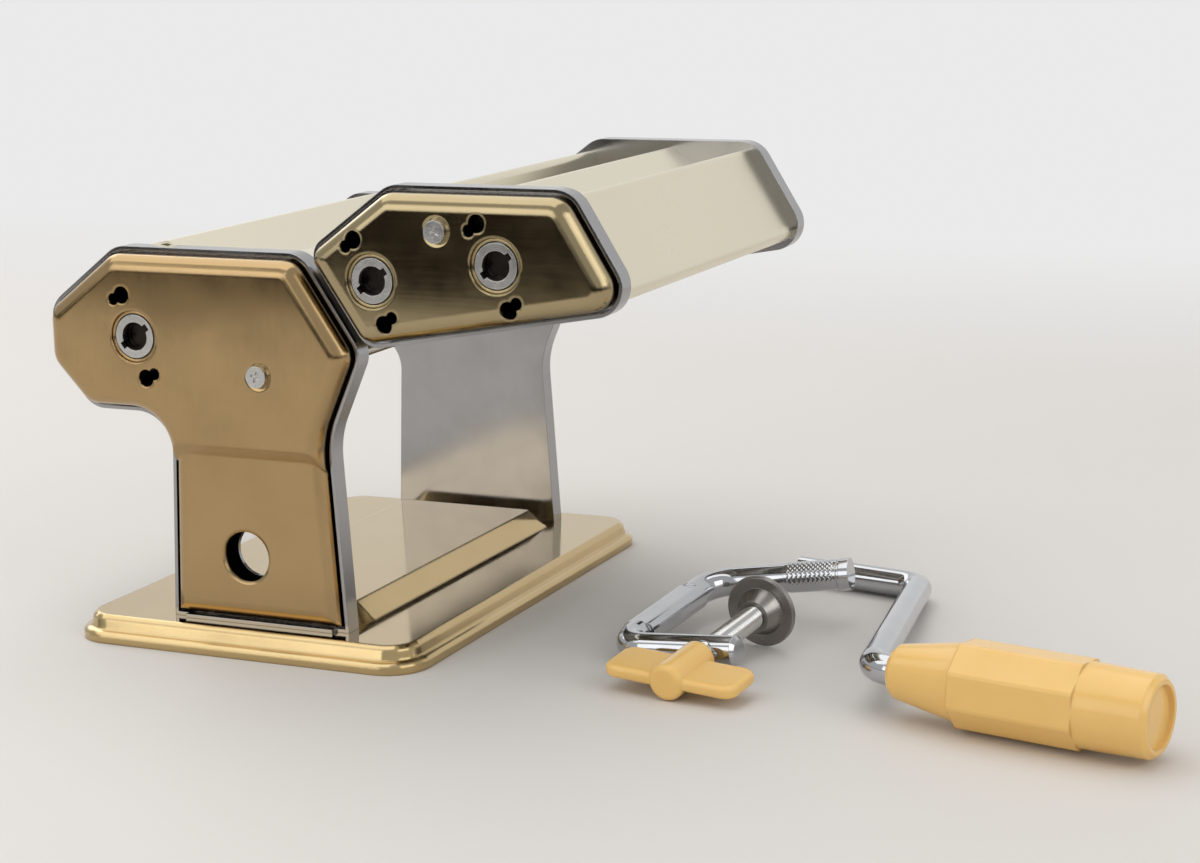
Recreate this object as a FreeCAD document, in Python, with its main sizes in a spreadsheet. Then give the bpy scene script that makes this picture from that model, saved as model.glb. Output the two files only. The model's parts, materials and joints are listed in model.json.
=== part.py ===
import FreeCAD, Part
import math
import os

import Sketcher

# Hand-cranked pasta roller with a lift-off double cutter, its loose crank and its table clamp.
# Millimetres. X runs along the rollers (crank side at -X), -Y is the cutter side, Z is up.
# The origin is the middle of the base on the plane that its feet stand on.

V = FreeCAD.Vector
doc = FreeCAD.newDocument("PastaRoller")
dims = doc.addObject("Spreadsheet::Sheet", "dims")

DRIVING = [
    ("base_margin", 9.55, "base lip beyond the leg cover's face"),
    ("base_width", 130.4, "base across the rollers"),
    ("base_corner", 14.0, "corner radius of the base lip"),
    ("base_top", 8.7, "height of the base's flat rim"),
    ("plateau_top", 14.8, "height of the raised panel between the legs"),
    ("plateau_clear", 1.0, "raised panel's foot to a side plate"),
    ("plateau_width", 54.0, "raised panel across the rollers"),
    ("gauge", 1.2, "sheet thickness of base, plates and covers"),
    ("thin_gauge", 0.8, "sheet thickness of hoods and guides"),
    ("foot_radius", 7.0, "rubber foot radius"),
    ("plate_gap", 154.0, "between the inner faces of the side plates"),
    ("rim_depth", 5.6, "turned-out rim of a side plate"),
    ("head_depth", 12.0, "side plate's face to the head cover's face"),
    ("leg_depth", 9.0, "side plate's face to the leg cover's face"),
    ("rim_gap", 0.9, "black line between rim and cover"),
    ("head_rise", 23.5, "head's top above the roller axes"),
    ("cutter_rise", 22.9, "cutter's top above the head's top"),
    ("leg_front", 36.3, "front of the leg's foot, ahead of the middle"),
    ("leg_rear", 30.2, "rear of the leg's foot, behind the middle"),
    ("roller_radius", 13.25, "smooth roller radius"),
    ("roller_height", 109.5, "height of the smooth rollers' axes"),
    ("roller_journal", 5.0, "journal radius of the smooth rollers"),
    ("gap_widest", 3.0, "roller gap at the widest setting"),
    ("gap_travel", 2.5, "travel of the moving roller"),
    ("tooth_module", 1.5, "module of the roller gears"),
    ("roller_teeth", 18.0, "teeth on each roller gear"),
    ("drive_teeth", 15.0, "teeth on the drive gear"),
    ("drive_y", 36.5, "crank socket of the smooth rollers, behind the middle"),
    ("drive_drop", 5.4, "that socket below the roller axes"),
    ("socket_radius", 7.2, "outer radius of a crank socket"),
    ("socket_bore", 4.7, "bore radius of a crank socket"),
    ("cutter_radius", 9.3, "outer radius of the cutting rings"),
    ("cutter_groove", 7.8, "radius between the cutting rings"),
    ("cutter_spacing", 17.4, "between the axes of a cutter pair"),
    ("wide_ribbon", 6.5, "width of the broad ribbon"),
    ("fine_ribbon", 2.0, "width of the fine ribbon"),
    ("cutter_a_y", -52.7, "rear cutter socket"),
    ("cutter_a_drop", 6.8, "that socket below the head's top"),
    ("cutter_b_y", -95.8, "front cutter socket"),
    ("cutter_b_drop", 0.4, "that socket below the head's top"),
    ("cutter_teeth", 18.0, "teeth on each cutter gear"),
    ("shaft_clear", 0.06, "radial running clearance of a shaft"),
    ("clamp_hole_radius", 8.5, "hole in the leg that takes the clamp"),
    ("clamp_hole_y", -0.8, "clamp hole, from the middle"),
    ("clamp_hole_z", 32.2, "height of the clamp hole"),
    ("dial_radius", 12.8, "thickness dial radius"),
    ("rod_radius", 4.8, "crank and clamp rod radius"),
    ("crank_arm", 125.4, "crank arm between the bends"),
    ("crank_lean", 111.3, "angle from the grip to the arm, degrees"),
    ("crank_tail", 36.0, "drive end of the crank"),
    ("grip_length", 84.0, "length of the crank's grip"),
    ("grip_radius", 13.2, "largest radius of the grip"),
    ("clamp_spine", 62.5, "back of the clamp between its bends"),
    ("clamp_low_arm", 43.5, "clamp arm that holds the screw"),
    ("clamp_high_arm", 49.2, "clamp arm that enters the leg"),
    ("clamp_splay", 13.1, "outward lean of the upper arm, degrees"),
    ("clamp_screw_at", 32.9, "screw axis, from the clamp's back"),
    ("screw_radius", 3.9, "clamp screw radius"),
    ("disc_radius", 12.1, "pressure disc radius"),
    ("wing_span", 46.0, "wing knob, tip to tip"),
]
for row, (alias, value, note) in enumerate(DRIVING, start=1):
    dims.set("A%d" % row, note)
    dims.set("B%d" % row, str(value))
    dims.setAlias("B%d" % row, alias)
doc.recompute()


def size(alias):
    """A driving dimension, read from the sheet."""
    return float(dims.get(alias))


pieces = []


def keep(piece, label):
    """Names a finished piece, so that it is written out under that name."""
    piece.Label = label
    pieces.append(piece)
    return piece


def feature(label, shape):
    """A piece whose shape the sheet metal helpers below work out."""
    piece = doc.addObject("Part::Feature", label)
    piece.Shape = shape
    return keep(piece, label)


def fuse(shapes):
    """One solid out of several that meet."""
    first = shapes[0]
    return first.multiFuse(shapes[1:]).removeSplitter() if len(shapes) > 1 else first


# Outline helpers: an outline is a list of (y, z, corner radius).

def inset(outline, depth):
    """The outline moved inwards by depth, corner radii with it. Outlines run anticlockwise seen from +X."""
    count = len(outline)
    moved = []
    for i in range(count):
        y0, z0, _ = outline[i - 1]
        y1, z1, radius = outline[i]
        y2, z2, _ = outline[(i + 1) % count]
        ay, az = y1 - y0, z1 - z0
        by, bz = y2 - y1, z2 - z1
        a, b = math.hypot(ay, az), math.hypot(by, bz)
        ay, az, by, bz = ay / a, az / a, by / b, bz / b
        turn = ay * bz - az * by
        along = math.tan(math.atan2(turn, ay * by + az * bz) / 2.0)
        ny, nz = -az, ay
        moved.append((
            y1 + depth * (ny - ay * along),
            z1 + depth * (nz - az * along),
            max(radius - depth if turn > 0 else radius + depth, 0.6) if radius else 0.0,
        ))
    return moved


def outline_wire(outline, x):
    """A closed wire of straight edges and corner arcs in the plane at x."""
    count = len(outline)
    starts, ends, mids = [], [], []
    for i in range(count):
        p = V(x, outline[i][0], outline[i][1])
        before = V(x, outline[i - 1][0], outline[i - 1][1]).sub(p)
        after = V(x, outline[(i + 1) % count][0], outline[(i + 1) % count][1]).sub(p)
        radius = outline[i][2]
        if radius <= 0.0:
            starts.append(p)
            ends.append(p)
            mids.append(None)
            continue
        before.normalize()
        after.normalize()
        half = before.getAngle(after) / 2.0
        leg = radius / math.tan(half)
        start = p.add(V(before).multiply(leg))
        end = p.add(V(after).multiply(leg))
        bisector = before.add(after)
        bisector.normalize()
        centre = p.add(V(bisector).multiply(radius / math.sin(half)))
        starts.append(start)
        ends.append(end)
        mids.append(centre.sub(V(bisector).multiply(radius)))
    edges = []
    for i in range(count):
        if mids[i] is not None:
            edges.append(Part.Arc(starts[i], mids[i], ends[i]).toShape())
        nxt = starts[(i + 1) % count]
        if ends[i].distanceToPoint(nxt) > 1e-6:
            edges.append(Part.makeLine(ends[i], nxt))
    return Part.Wire(edges)


def slab(outline, x0, x1):
    """The outline as a solid between two planes."""
    return Part.Face(outline_wire(outline, x0)).extrude(V(x1 - x0, 0, 0))


def stack(outline, levels):
    """A pressed form: outlines inset by each level's depth, joined by straight flanks."""
    wires = [outline_wire(inset(outline, depth), x) for depth, x in levels]
    steps = [Part.makeLoft([low, high], True, True) for low, high in zip(wires, wires[1:])]
    return fuse(steps)


def rod_x(y, z, radius, x0, x1):
    """A round bar along X."""
    return Part.makeCylinder(radius, abs(x1 - x0), V(min(x0, x1), y, z), V(1, 0, 0))


def mirrored(shape):
    """The same form on the dial side."""
    return shape.mirror(V(0, 0, 0), V(1, 0, 0))


def bent_sheet(points, thickness, x0, x1):
    """A folded sheet along X: points (y, z, bend radius) on one face, thickness to the left of the run."""
    near, far = [], []
    count = len(points)
    for i, (y, z, radius) in enumerate(points):
        if i == 0:
            ty, tz = points[1][0] - y, points[1][1] - z
            n = math.hypot(ty, tz)
            oy, oz = -tz / n, ty / n
        elif i == count - 1:
            ty, tz = y - points[i - 1][0], z - points[i - 1][1]
            n = math.hypot(ty, tz)
            oy, oz = -tz / n, ty / n
        else:
            ay, az = y - points[i - 1][0], z - points[i - 1][1]
            by, bz = points[i + 1][0] - y, points[i + 1][1] - z
            a, b = math.hypot(ay, az), math.hypot(by, bz)
            ay, az, by, bz = ay / a, az / a, by / b, bz / b
            half = math.tan(math.atan2(ay * bz - az * by, ay * by + az * bz) / 2.0)
            oy, oz = -az - ay * half, ay - az * half
        near.append((y, z, radius))
        grow = thickness if 0 < i < count - 1 else 0.0
        turn = 0.0
        if 0 < i < count - 1:
            turn = (y - points[i - 1][0]) * (points[i + 1][1] - z)
            turn -= (z - points[i - 1][1]) * (points[i + 1][0] - y)
        other = radius - grow if turn > 0 else radius + grow
        far.append((y + thickness * oy, z + thickness * oz, max(other, 0.3) if radius else 0.0))
    return slab(near + far[::-1], x0, x1)


def gear(teeth, module, x0, x1, y, z, bore, phase=0.0):
    """A spur gear along X with straight-sided teeth and a little backlash."""
    pitch = teeth * module / 2.0
    tip, root = pitch + 0.92 * module, pitch - 1.25 * module
    step = 2.0 * math.pi / teeth
    points = []
    for n in range(int(teeth)):
        mid = phase + n * step
        for radius, share in ((root, -0.33), (tip, -0.115), (tip, 0.115), (root, 0.33)):
            angle = mid + share * step
            points.append(V(x0, y + radius * math.cos(angle), z + radius * math.sin(angle)))
    blank = Part.Face(Part.makePolygon(points + points[:1])).extrude(V(x1 - x0, 0, 0))
    return blank.cut(rod_x(y, z, bore, x0 - 1, x1 + 1))


# Frame outlines

BASE_TOP = size("base_top")
GAUGE = size("gauge")
THIN = size("thin_gauge")
PLATE = size("plate_gap") / 2.0
SKIN = PLATE + GAUGE
HEAD_FACE = SKIN + size("head_depth")
LEG_FACE = SKIN + size("leg_depth")
ROLLER_Z = size("roller_height")
HEAD_TOP = ROLLER_Z + size("head_rise")
CUTTER_TOP = HEAD_TOP + size("cutter_rise")
DRIVE_Z = ROLLER_Z - size("drive_drop")
CUTTER_A_Z = HEAD_TOP - size("cutter_a_drop")
CUTTER_B_Z = HEAD_TOP - size("cutter_b_drop")

# The head's sloping front edge, which the cutter slides along, runs from the nose to the brow.
NOSE_Y = -45.0
NOSE_Z = ROLLER_Z - 8.0
BROW_Y = -24.0
SLOPE = math.hypot(BROW_Y - NOSE_Y, HEAD_TOP - NOSE_Z)
RAIL_Y = (BROW_Y - NOSE_Y) / SLOPE
RAIL_Z = (HEAD_TOP - NOSE_Z) / SLOPE

HEAD = [
    (46.0, HEAD_TOP, 10.0),
    (BROW_Y, HEAD_TOP, 9.5),
    (NOSE_Y, NOSE_Z, 9.0),
    (-32.5, ROLLER_Z - 36.5, 30.0),
    (-size("leg_front"), BASE_TOP, 0.0),
    (size("leg_rear"), BASE_TOP, 0.0),
    (27.2, ROLLER_Z - 31.5, 13.0),
    (58.0, ROLLER_Z - 31.5, 10.0),
    (72.6, ROLLER_Z - 16.0, 10.0),
    (72.6, ROLLER_Z + 3.0, 10.0),
]
CUTTER = [
    (-26.5, CUTTER_TOP - 22.1, 6.5),
    (-56.5, CUTTER_TOP, 10.0),
    (-119.0, CUTTER_TOP, 10.0),
    (-141.0, CUTTER_TOP - 36.4, 9.5),
    (-47.0, CUTTER_TOP - 52.7, 8.0),
]


# Base and feet

def rounded_rectangle(length, width, radius, z):
    """A rounded rectangle in the plane at z, as a wire."""
    corners = [(-1, -1), (1, -1), (1, 1), (-1, 1)]
    outline = [(sx * length / 2.0, sy * width / 2.0, radius) for sx, sy in corners]
    wire = outline_wire(outline, 0.0)
    return wire.transformGeometry(FreeCAD.Matrix(0, 1, 0, 0, 0, 0, 1, 0, 1, 0, 0, z, 0, 0, 0, 1))


def tray(length, width, radius, levels):
    """A stamped tray's form: rounded rectangles at (inset, height), joined by straight flanks."""
    wires = [rounded_rectangle(length - 2 * d, width - 2 * d, radius - d, z) for d, z in levels]
    return fuse([Part.makeLoft([a, b], True, True) for a, b in zip(wires, wires[1:])])


LEG_MIDDLE = (size("leg_rear") - size("leg_front")) / 2.0
PLATEAU_RUN = 7.0
PLATEAU_LENGTH = 2.0 * (PLATE - size("plateau_clear") - PLATEAU_RUN)
BASE_LENGTH = 2.0 * (LEG_FACE + size("base_margin"))


def base_plate():
    length, width, corner = BASE_LENGTH, size("base_width"), size("base_corner")
    outside = tray(length, width, corner, [
        (0.0, 0.0), (0.0, 2.6), (0.9, 3.6), (2.6, 4.1), (3.4, 7.4), (4.8, BASE_TOP),
    ])
    panel = tray(PLATEAU_LENGTH + 2 * PLATEAU_RUN, size("plateau_width") + 2 * PLATEAU_RUN, 9.0, [
        (0.0, BASE_TOP - 0.01), (PLATEAU_RUN, size("plateau_top")),
    ])
    panel.translate(V(0, LEG_MIDDLE, 0))
    hollow = tray(length - 2 * GAUGE, width - 2 * GAUGE, corner - GAUGE, [
        (0.0, -1.0), (0.0, 2.2), (0.9, 2.9), (2.6, 3.3), (3.4, 6.6), (4.8, BASE_TOP - GAUGE),
    ])
    under = tray(PLATEAU_LENGTH + 2 * PLATEAU_RUN - 2 * GAUGE,
                 size("plateau_width") + 2 * PLATEAU_RUN - 2 * GAUGE, 8.0, [
        (0.0, BASE_TOP - GAUGE - 0.3), (PLATEAU_RUN, size("plateau_top") - GAUGE),
    ])
    under.translate(V(0, LEG_MIDDLE, 0))
    shell = fuse([outside, panel]).cut(fuse([hollow, under]))
    for sx in (-1, 1):
        for y in BOLT_ROW:
            shell = shell.cut(Part.makeCylinder(BOLT_RADIUS + 0.1, 20, V(sx * BOLT_X, y, 0)))
    return feature("base_plate", shell)


BOLT_X = SKIN + 3.2
BOLT_ROW = (LEG_MIDDLE - 20.0, LEG_MIDDLE + 20.0)
BOLT_RADIUS = 1.9

FOOT_X = BASE_LENGTH / 2.0 - 17.0
FOOT_Y = size("base_width") / 2.0 - 17.0


def base_feet():
    feet = []
    for sx in (-1, 1):
        for sy in (-1, 1):
            foot = doc.addObject("Part::Cylinder", "foot")
            foot.setExpression("Radius", "dims.foot_radius")
            foot.setExpression("Height", "dims.base_top - dims.gauge")
            foot.Placement.Base = V(sx * FOOT_X, sy * FOOT_Y, 0)
            feet.append(foot)
    group = doc.addObject("Part::Compound", "base_feet")
    group.Links = feet
    return keep(group, "base_feet")


# Side plates and covers of the main head

FIXED_Y = size("drive_y") - math.sqrt(
    ((size("drive_teeth") + size("roller_teeth")) * size("tooth_module") / 2.0 + 0.1) ** 2
    - (DRIVE_Z - ROLLER_Z) ** 2)
MOVING_Y = FIXED_Y - 2 * size("roller_radius") - size("gap_widest")
JOURNAL = size("roller_journal")
BUSH_RADIUS = JOURNAL + 2.0
CLEAR = size("shaft_clear")
COVER_SCREW_Y = -10.1
COVER_SCREW_Z = ROLLER_Z - 16.0
COVER_STEP_TOP = ROLLER_Z - 37.9
COVER_STEP_FOOT = ROLLER_Z - 46.0
TIES = [(58.0, ROLLER_Z - 12.5), (24.0, ROLLER_Z - 19.5), (-35.4, ROLLER_Z - 8.2)]
TIE_RADIUS = 4.0
TIE_END = 2.5


def side_plate(with_clamp_hole):
    """A steel plate, drawn for the crank side: a flat sheet with its edge turned out towards the cover."""
    plate = slab(HEAD, -PLATE, -SKIN)
    rim = slab(HEAD, -SKIN, -SKIN - size("rim_depth"))
    rim = rim.cut(slab(inset(HEAD, GAUGE), -SKIN, -SKIN - size("rim_depth")))
    tab = Part.makeBox(7.5, 56.0, GAUGE, V(-SKIN - 7.5, LEG_MIDDLE - 28.0, BASE_TOP))
    shape = fuse([plate, rim, tab])
    low = [rod_x(FIXED_Y, ROLLER_Z, BUSH_RADIUS, -SKIN - 1, -PLATE + 1)]
    slot = Part.makeBox(10, size("gap_travel"), 2 * BUSH_RADIUS + 0.4,
                        V(-SKIN - 2, MOVING_Y, ROLLER_Z - BUSH_RADIUS - 0.2))
    low.append(slot)
    low.append(rod_x(MOVING_Y, ROLLER_Z, BUSH_RADIUS + 0.2, -SKIN - 1, -PLATE + 1))
    low.append(rod_x(MOVING_Y + size("gap_travel"), ROLLER_Z, BUSH_RADIUS + 0.2, -SKIN - 1, -PLATE + 1))
    if with_clamp_hole:
        low.append(rod_x(size("clamp_hole_y"), size("clamp_hole_z"), size("clamp_hole_radius"),
                         -SKIN - 9, -PLATE + 1))
    for y, z in TIES:
        low.append(rod_x(y, z, TIE_END + 0.05, -SKIN - 1, -PLATE + 1))
    low.append(rod_x(COVER_SCREW_Y, COVER_SCREW_Z, 1.55, -SKIN - 1, -PLATE + 1))
    for y in BOLT_ROW:
        low.append(Part.makeCylinder(BOLT_RADIUS + 0.1, 6, V(-BOLT_X, y, BASE_TOP - 2)))
    return shape.cut(low[0].multiFuse(low[1:]))


EDGE_STEPS = 5
EDGE_IN = 5.2
EDGE_DEEP = 4.6
COVER_LIFT = 0.4


def pressed_edge(face, inner):
    """Levels of a pressed cover: a straight wall, then a quarter of an ellipse up to the face."""
    edge = GAUGE + size("rim_gap") + inner
    foot = SKIN + COVER_LIFT - (1.0 if inner else 0.0)
    levels = [(edge, -foot)]
    for step in range(EDGE_STEPS + 1):
        angle = math.pi / 2.0 * step / EDGE_STEPS
        levels.append((edge + EDGE_IN * (1.0 - math.cos(angle)),
                       inner - face + EDGE_DEEP * (1.0 - math.sin(angle))))
    return levels


def cover_form(inner):
    """The pressed cover's outside, or its inside when inner is the sheet's thickness."""
    low = stack(HEAD, pressed_edge(LEG_FACE, inner))
    high = stack(HEAD, pressed_edge(HEAD_FACE, inner))
    shift = inner * 1.15
    region = Part.makePolygon([
        V(-SKIN + 2, -100, 200), V(-SKIN + 2, -100, COVER_STEP_FOOT - 9 + shift),
        V(-LEG_FACE + 1.2, -100, COVER_STEP_FOOT + shift), V(-HEAD_FACE - 1.2, -100, COVER_STEP_TOP + shift),
        V(-HEAD_FACE - 1.2, -100, 200), V(-SKIN + 2, -100, 200)])
    head = high.common(Part.Face(region).extrude(V(0, 300, 0)))
    return fuse([low, head])


def keyhole(y, z, lean, x):
    """A hanging slot beside a socket: a large lobe and a small one."""
    big = rod_x(y, z, 2.9, x - 8, x + 8)
    small_y, small_z = y + 3.6 * math.cos(lean), z + 3.6 * math.sin(lean)
    return big.fuse(rod_x(small_y, small_z, 2.0, x - 8, x + 8))


def side_cover(with_drive):
    """A pressed cover with its openings."""
    shell = cover_form(0.0).cut(cover_form(GAUGE))
    cuts = [rod_x(COVER_SCREW_Y, COVER_SCREW_Z, 1.9, -HEAD_FACE - 1, -SKIN + 1)]
    if with_drive:
        cuts.append(rod_x(size("clamp_hole_y"), size("clamp_hole_z"), size("clamp_hole_radius"),
                          -HEAD_FACE - 1, -SKIN + 1))
        y, z = size("drive_y"), DRIVE_Z
        cuts.append(rod_x(y, z, size("socket_radius") + 1.5, -HEAD_FACE - 1, -HEAD_FACE + 4))
        cuts.append(keyhole(y + 4.0, z + 13.6, math.radians(-25), -HEAD_FACE))
        cuts.append(keyhole(y - 4.0, z - 13.6, math.radians(155), -HEAD_FACE))
    else:
        cuts.append(rod_x(MOVING_Y + size("gap_travel") / 2.0, ROLLER_Z, DIAL_SHAFT + 2.0,
                          -HEAD_FACE - 1, -HEAD_FACE + 4))
    return shell.cut(cuts[0].multiFuse(cuts[1:]))


DIAL_SHAFT = 4.0


def side_plates_and_covers():
    feature("crank_side_plate", side_plate(True).cut(
        rod_x(size("drive_y"), DRIVE_Z, DRIVE_BUSH, -SKIN - 1, -PLATE + 1)))
    feature("dial_side_plate", mirrored(side_plate(False)))
    feature("crank_side_cover", side_cover(True))
    feature("dial_side_cover", mirrored(side_cover(False)))


DRIVE_BUSH = 7.0
DRIVE_JOURNAL = 5.0


def screw_x(y, z, face, length, sign):
    """A pan-head screw through a cover, its head outside at x = sign * face."""
    head = rod_x(y, z, 3.6, sign * face, sign * (face + 1.6))
    shank = rod_x(y, z, 1.5, sign * face, sign * (face - length))
    body = head.fuse(shank)
    for turn in (0, 90):
        slot = Part.makeBox(1.2, 3.6, 0.9, V(-0.6, -1.8, -0.45))
        slot.rotate(V(0, 0, 0), V(1, 0, 0), turn + 20)
        slot.translate(V(sign * (face + 1.5), y, z))
        body = body.cut(slot)
    return body


def cover_screws():
    reach = HEAD_FACE - PLATE
    feature("cover_screws", Part.makeCompound([
        screw_x(COVER_SCREW_Y, COVER_SCREW_Z, HEAD_FACE, reach, sign) for sign in (-1, 1)]))


def leg_bolts():
    bolts = []
    for sx in (-1, 1):
        for y in BOLT_ROW:
            shank = Part.makeCylinder(BOLT_RADIUS, 2 * GAUGE, V(sx * BOLT_X, y, BASE_TOP - GAUGE))
            head = Part.makeCylinder(3.0, 1.6, V(sx * BOLT_X, y, BASE_TOP - GAUGE - 1.6))
            bolts.append(shank.fuse(head))
    feature("leg_bolts", Part.makeCompound(bolts))


def tie_rods():
    rods = []
    for y, z in TIES:
        bar = rod_x(y, z, TIE_RADIUS, -PLATE, PLATE)
        ends = rod_x(y, z, TIE_END, -SKIN - 4.0, SKIN + 4.0)
        rods.append(bar.fuse(ends))
    feature("tie_rods", Part.makeCompound(rods))


def tie_nuts():
    nuts = []
    for y, z in TIES:
        for sign in (-1, 1):
            points = []
            for n in range(7):
                angle = math.radians(60 * n)
                points.append(V(sign * SKIN, y + 4.6 * math.cos(angle), z + 4.6 * math.sin(angle)))
            nut = Part.Face(Part.makePolygon(points)).extrude(V(sign * 3.4, 0, 0))
            nuts.append(nut.cut(rod_x(y, z, TIE_END, -SKIN - 9, SKIN + 9)))
    feature("tie_nuts", Part.makeCompound(nuts))


# Smooth rollers and their drive

def turned(label, profile, y, z):
    """A turned piece on an axis along X: profile is a list of (x, radius) from end to end."""
    body = doc.addObject("PartDesign::Body", label)
    sketch = body.newObject("Sketcher::SketchObject", label + "_profile")
    plane = [p for p in body.Origin.OriginFeatures if p.Role == "XZ_Plane"][0]
    sketch.AttachmentSupport = [(plane, "")]
    sketch.MapMode = "FlatFace"
    points = [V(profile[0][0], 0, 0)]
    points += [V(x, radius, 0) for x, radius in profile]
    points.append(V(profile[-1][0], 0, 0))
    count = len(points)
    for i in range(count):
        sketch.addGeometry(Part.LineSegment(points[i], points[(i + 1) % count]), False)
    for i in range(count):
        sketch.addConstraint(Sketcher.Constraint("Coincident", i, 2, (i + 1) % count, 1))
    spin = body.newObject("PartDesign::Revolution", label + "_turning")
    spin.Profile = sketch
    spin.ReferenceAxis = (sketch, ["H_Axis"])
    spin.Angle = 360.0
    body.Placement.Base = V(0, y, z)
    body.Tip = spin
    return keep(body, label)


ROLLER_HALF = PLATE - 0.6
GEAR_NEAR = SKIN + 1.6
GEAR_WIDE = 6.0
DRIVE_WIDE = 4.8


def smooth_roller(label, y, far_end):
    near_end = -(GEAR_NEAR + GEAR_WIDE + 1.0)
    turned(label, [
        (near_end, JOURNAL), (-ROLLER_HALF, JOURNAL), (-ROLLER_HALF, size("roller_radius")),
        (ROLLER_HALF, size("roller_radius")), (ROLLER_HALF, JOURNAL), (far_end, JOURNAL),
    ], y, ROLLER_Z)


def rollers():
    smooth_roller("fixed_roller", FIXED_Y, SKIN + 2.0)
    smooth_roller("moving_roller", MOVING_Y, SKIN + 2.0)
    teeth, module = size("roller_teeth"), size("tooth_module")
    x0, x1 = -GEAR_NEAR - GEAR_WIDE, -GEAR_NEAR
    half = math.pi / teeth
    feature("fixed_roller_gear", gear(teeth, module, x0, x1, FIXED_Y, ROLLER_Z, JOURNAL))
    feature("moving_roller_gear", gear(teeth, module, x0, x1, MOVING_Y, ROLLER_Z, JOURNAL,
                                       0.0 if int(teeth) % 2 else half))
    bushes = []
    for sign in (-1, 1):
        ring = rod_x(FIXED_Y, ROLLER_Z, BUSH_RADIUS, sign * PLATE, sign * (SKIN + 1.0))
        flange = rod_x(FIXED_Y, ROLLER_Z, BUSH_RADIUS + 2.0, sign * SKIN, sign * (SKIN + 1.0))
        ring = ring.fuse(flange)
        bushes.append(ring.cut(rod_x(FIXED_Y, ROLLER_Z, JOURNAL + CLEAR, -SKIN - 9, SKIN + 9)))
    feature("fixed_roller_bushes", Part.makeCompound(bushes))
    blocks = []
    for sign in (-1, 1):
        ring = rod_x(MOVING_Y, ROLLER_Z, BUSH_RADIUS, sign * (PLATE - 0.3), sign * (SKIN + 1.2))
        flange = rod_x(MOVING_Y, ROLLER_Z, BUSH_RADIUS + 2.0, sign * (SKIN + 0.3), sign * (SKIN + 1.2))
        ring = ring.fuse(flange)
        blocks.append(ring.cut(rod_x(MOVING_Y, ROLLER_Z, JOURNAL + CLEAR, -SKIN - 9, SKIN + 9)))
    feature("moving_roller_blocks", Part.makeCompound(blocks))


def crank_socket(y, z, journal, root):
    """A drive socket: a bored ring with two opposite notches for the crank's cross pin, and its neck."""
    back = -SOCKET_FACE + SOCKET_DEPTH
    ring = rod_x(y, z, size("socket_radius"), -SOCKET_FACE, back)
    neck = rod_x(y, z, journal, back, root)
    bore = rod_x(y, z, size("socket_bore"), -SOCKET_FACE - 1, back - SOCKET_FLOOR)
    notch = Part.makeBox(SOCKET_DEPTH, 2 * size("socket_bore") + 2.6, 2.4,
                         V(-SOCKET_FACE - 1, -size("socket_bore") - 1.3, -1.2))
    notch.rotate(V(0, 0, 0), V(1, 0, 0), -35)
    notch.translate(V(0, y, z))
    return ring.fuse(neck).cut(bore.fuse(notch))


SOCKET_DEPTH = 4.8
SOCKET_FLOOR = 0.8
SOCKET_FACE = HEAD_FACE - 0.6


def main_drive():
    y, z = size("drive_y"), DRIVE_Z
    inner = -PLATE + 2.0
    feature("drive_socket", crank_socket(y, z, DRIVE_JOURNAL, inner))
    teeth, module = size("drive_teeth"), size("tooth_module")
    lean = math.atan2(z - ROLLER_Z, y - FIXED_Y)
    # a gap of the drive gear faces a tooth of the roller gear along the line of centres
    roller_phase = (lean / (2 * math.pi / size("roller_teeth"))) % 1.0
    step = 2 * math.pi / teeth
    phase = lean + math.pi + (0.5 + roller_phase) * step
    feature("drive_gear", gear(teeth, module, -GEAR_NEAR - DRIVE_WIDE, -GEAR_NEAR, y, z,
                               DRIVE_JOURNAL, phase))
    ring = rod_x(y, z, DRIVE_BUSH, -SKIN - 0.9, -PLATE)
    flange = rod_x(y, z, DRIVE_BUSH + 2.0, -PLATE, -PLATE + 1.0)
    bush = ring.fuse(flange)
    feature("drive_bush", bush.cut(rod_x(y, z, DRIVE_JOURNAL + CLEAR, -SKIN - 9, SKIN + 9)))

# Hoods, rails and scrapers of the main head

RAIL_X = PLATE - 11.0
RAIL_TURN = math.degrees(math.atan2(RAIL_Z, RAIL_Y))
RAIL_START = 5.0
RAIL_STOP = 31.0
HOOD_INSET = 1.4
CUTTER_STANDOFF = 2.5


def on_slope(x0, x1, along0, along1, out0, out1):
    """A block on the head's sloping front: along the slope, and out from the plates' front edge."""
    block = Part.makeBox(x1 - x0, along1 - along0, out1 - out0, V(x0, along0, out0))
    block.rotate(V(0, 0, 0), V(1, 0, 0), RAIL_TURN)
    block.translate(V(0, NOSE_Y, NOSE_Z))
    return block


def head_hoods():
    feature("rear_hood", bent_sheet([
        (60.2, ROLLER_Z - 28.1, 0.0), (71.0, ROLLER_Z - 15.6, 4.0), (71.0, ROLLER_Z + 2.1, 4.0),
        (45.4, HEAD_TOP - 1.8, 3.0),
        (30.0, HEAD_TOP + 1.4, 2.5), (FIXED_Y - 8.4, ROLLER_Z + 13.6, 0.0)], THIN, -PLATE, PLATE))
    start_y = NOSE_Y + HOOD_INSET * RAIL_Z + 1.5 * RAIL_Y
    start_z = NOSE_Z - HOOD_INSET * RAIL_Y + 1.5 * RAIL_Z
    reach = (HEAD_TOP - 1.9 - start_z) / RAIL_Z
    feature("front_hood", bent_sheet([
        (MOVING_Y + 8.2, ROLLER_Z + 14.6, 0.0), (-12.0, HEAD_TOP - 1.9, 2.0),
        (start_y + reach * RAIL_Y, HEAD_TOP - 1.9, 2.0), (start_y, start_z, 0.0)], THIN, -PLATE, PLATE))


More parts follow.
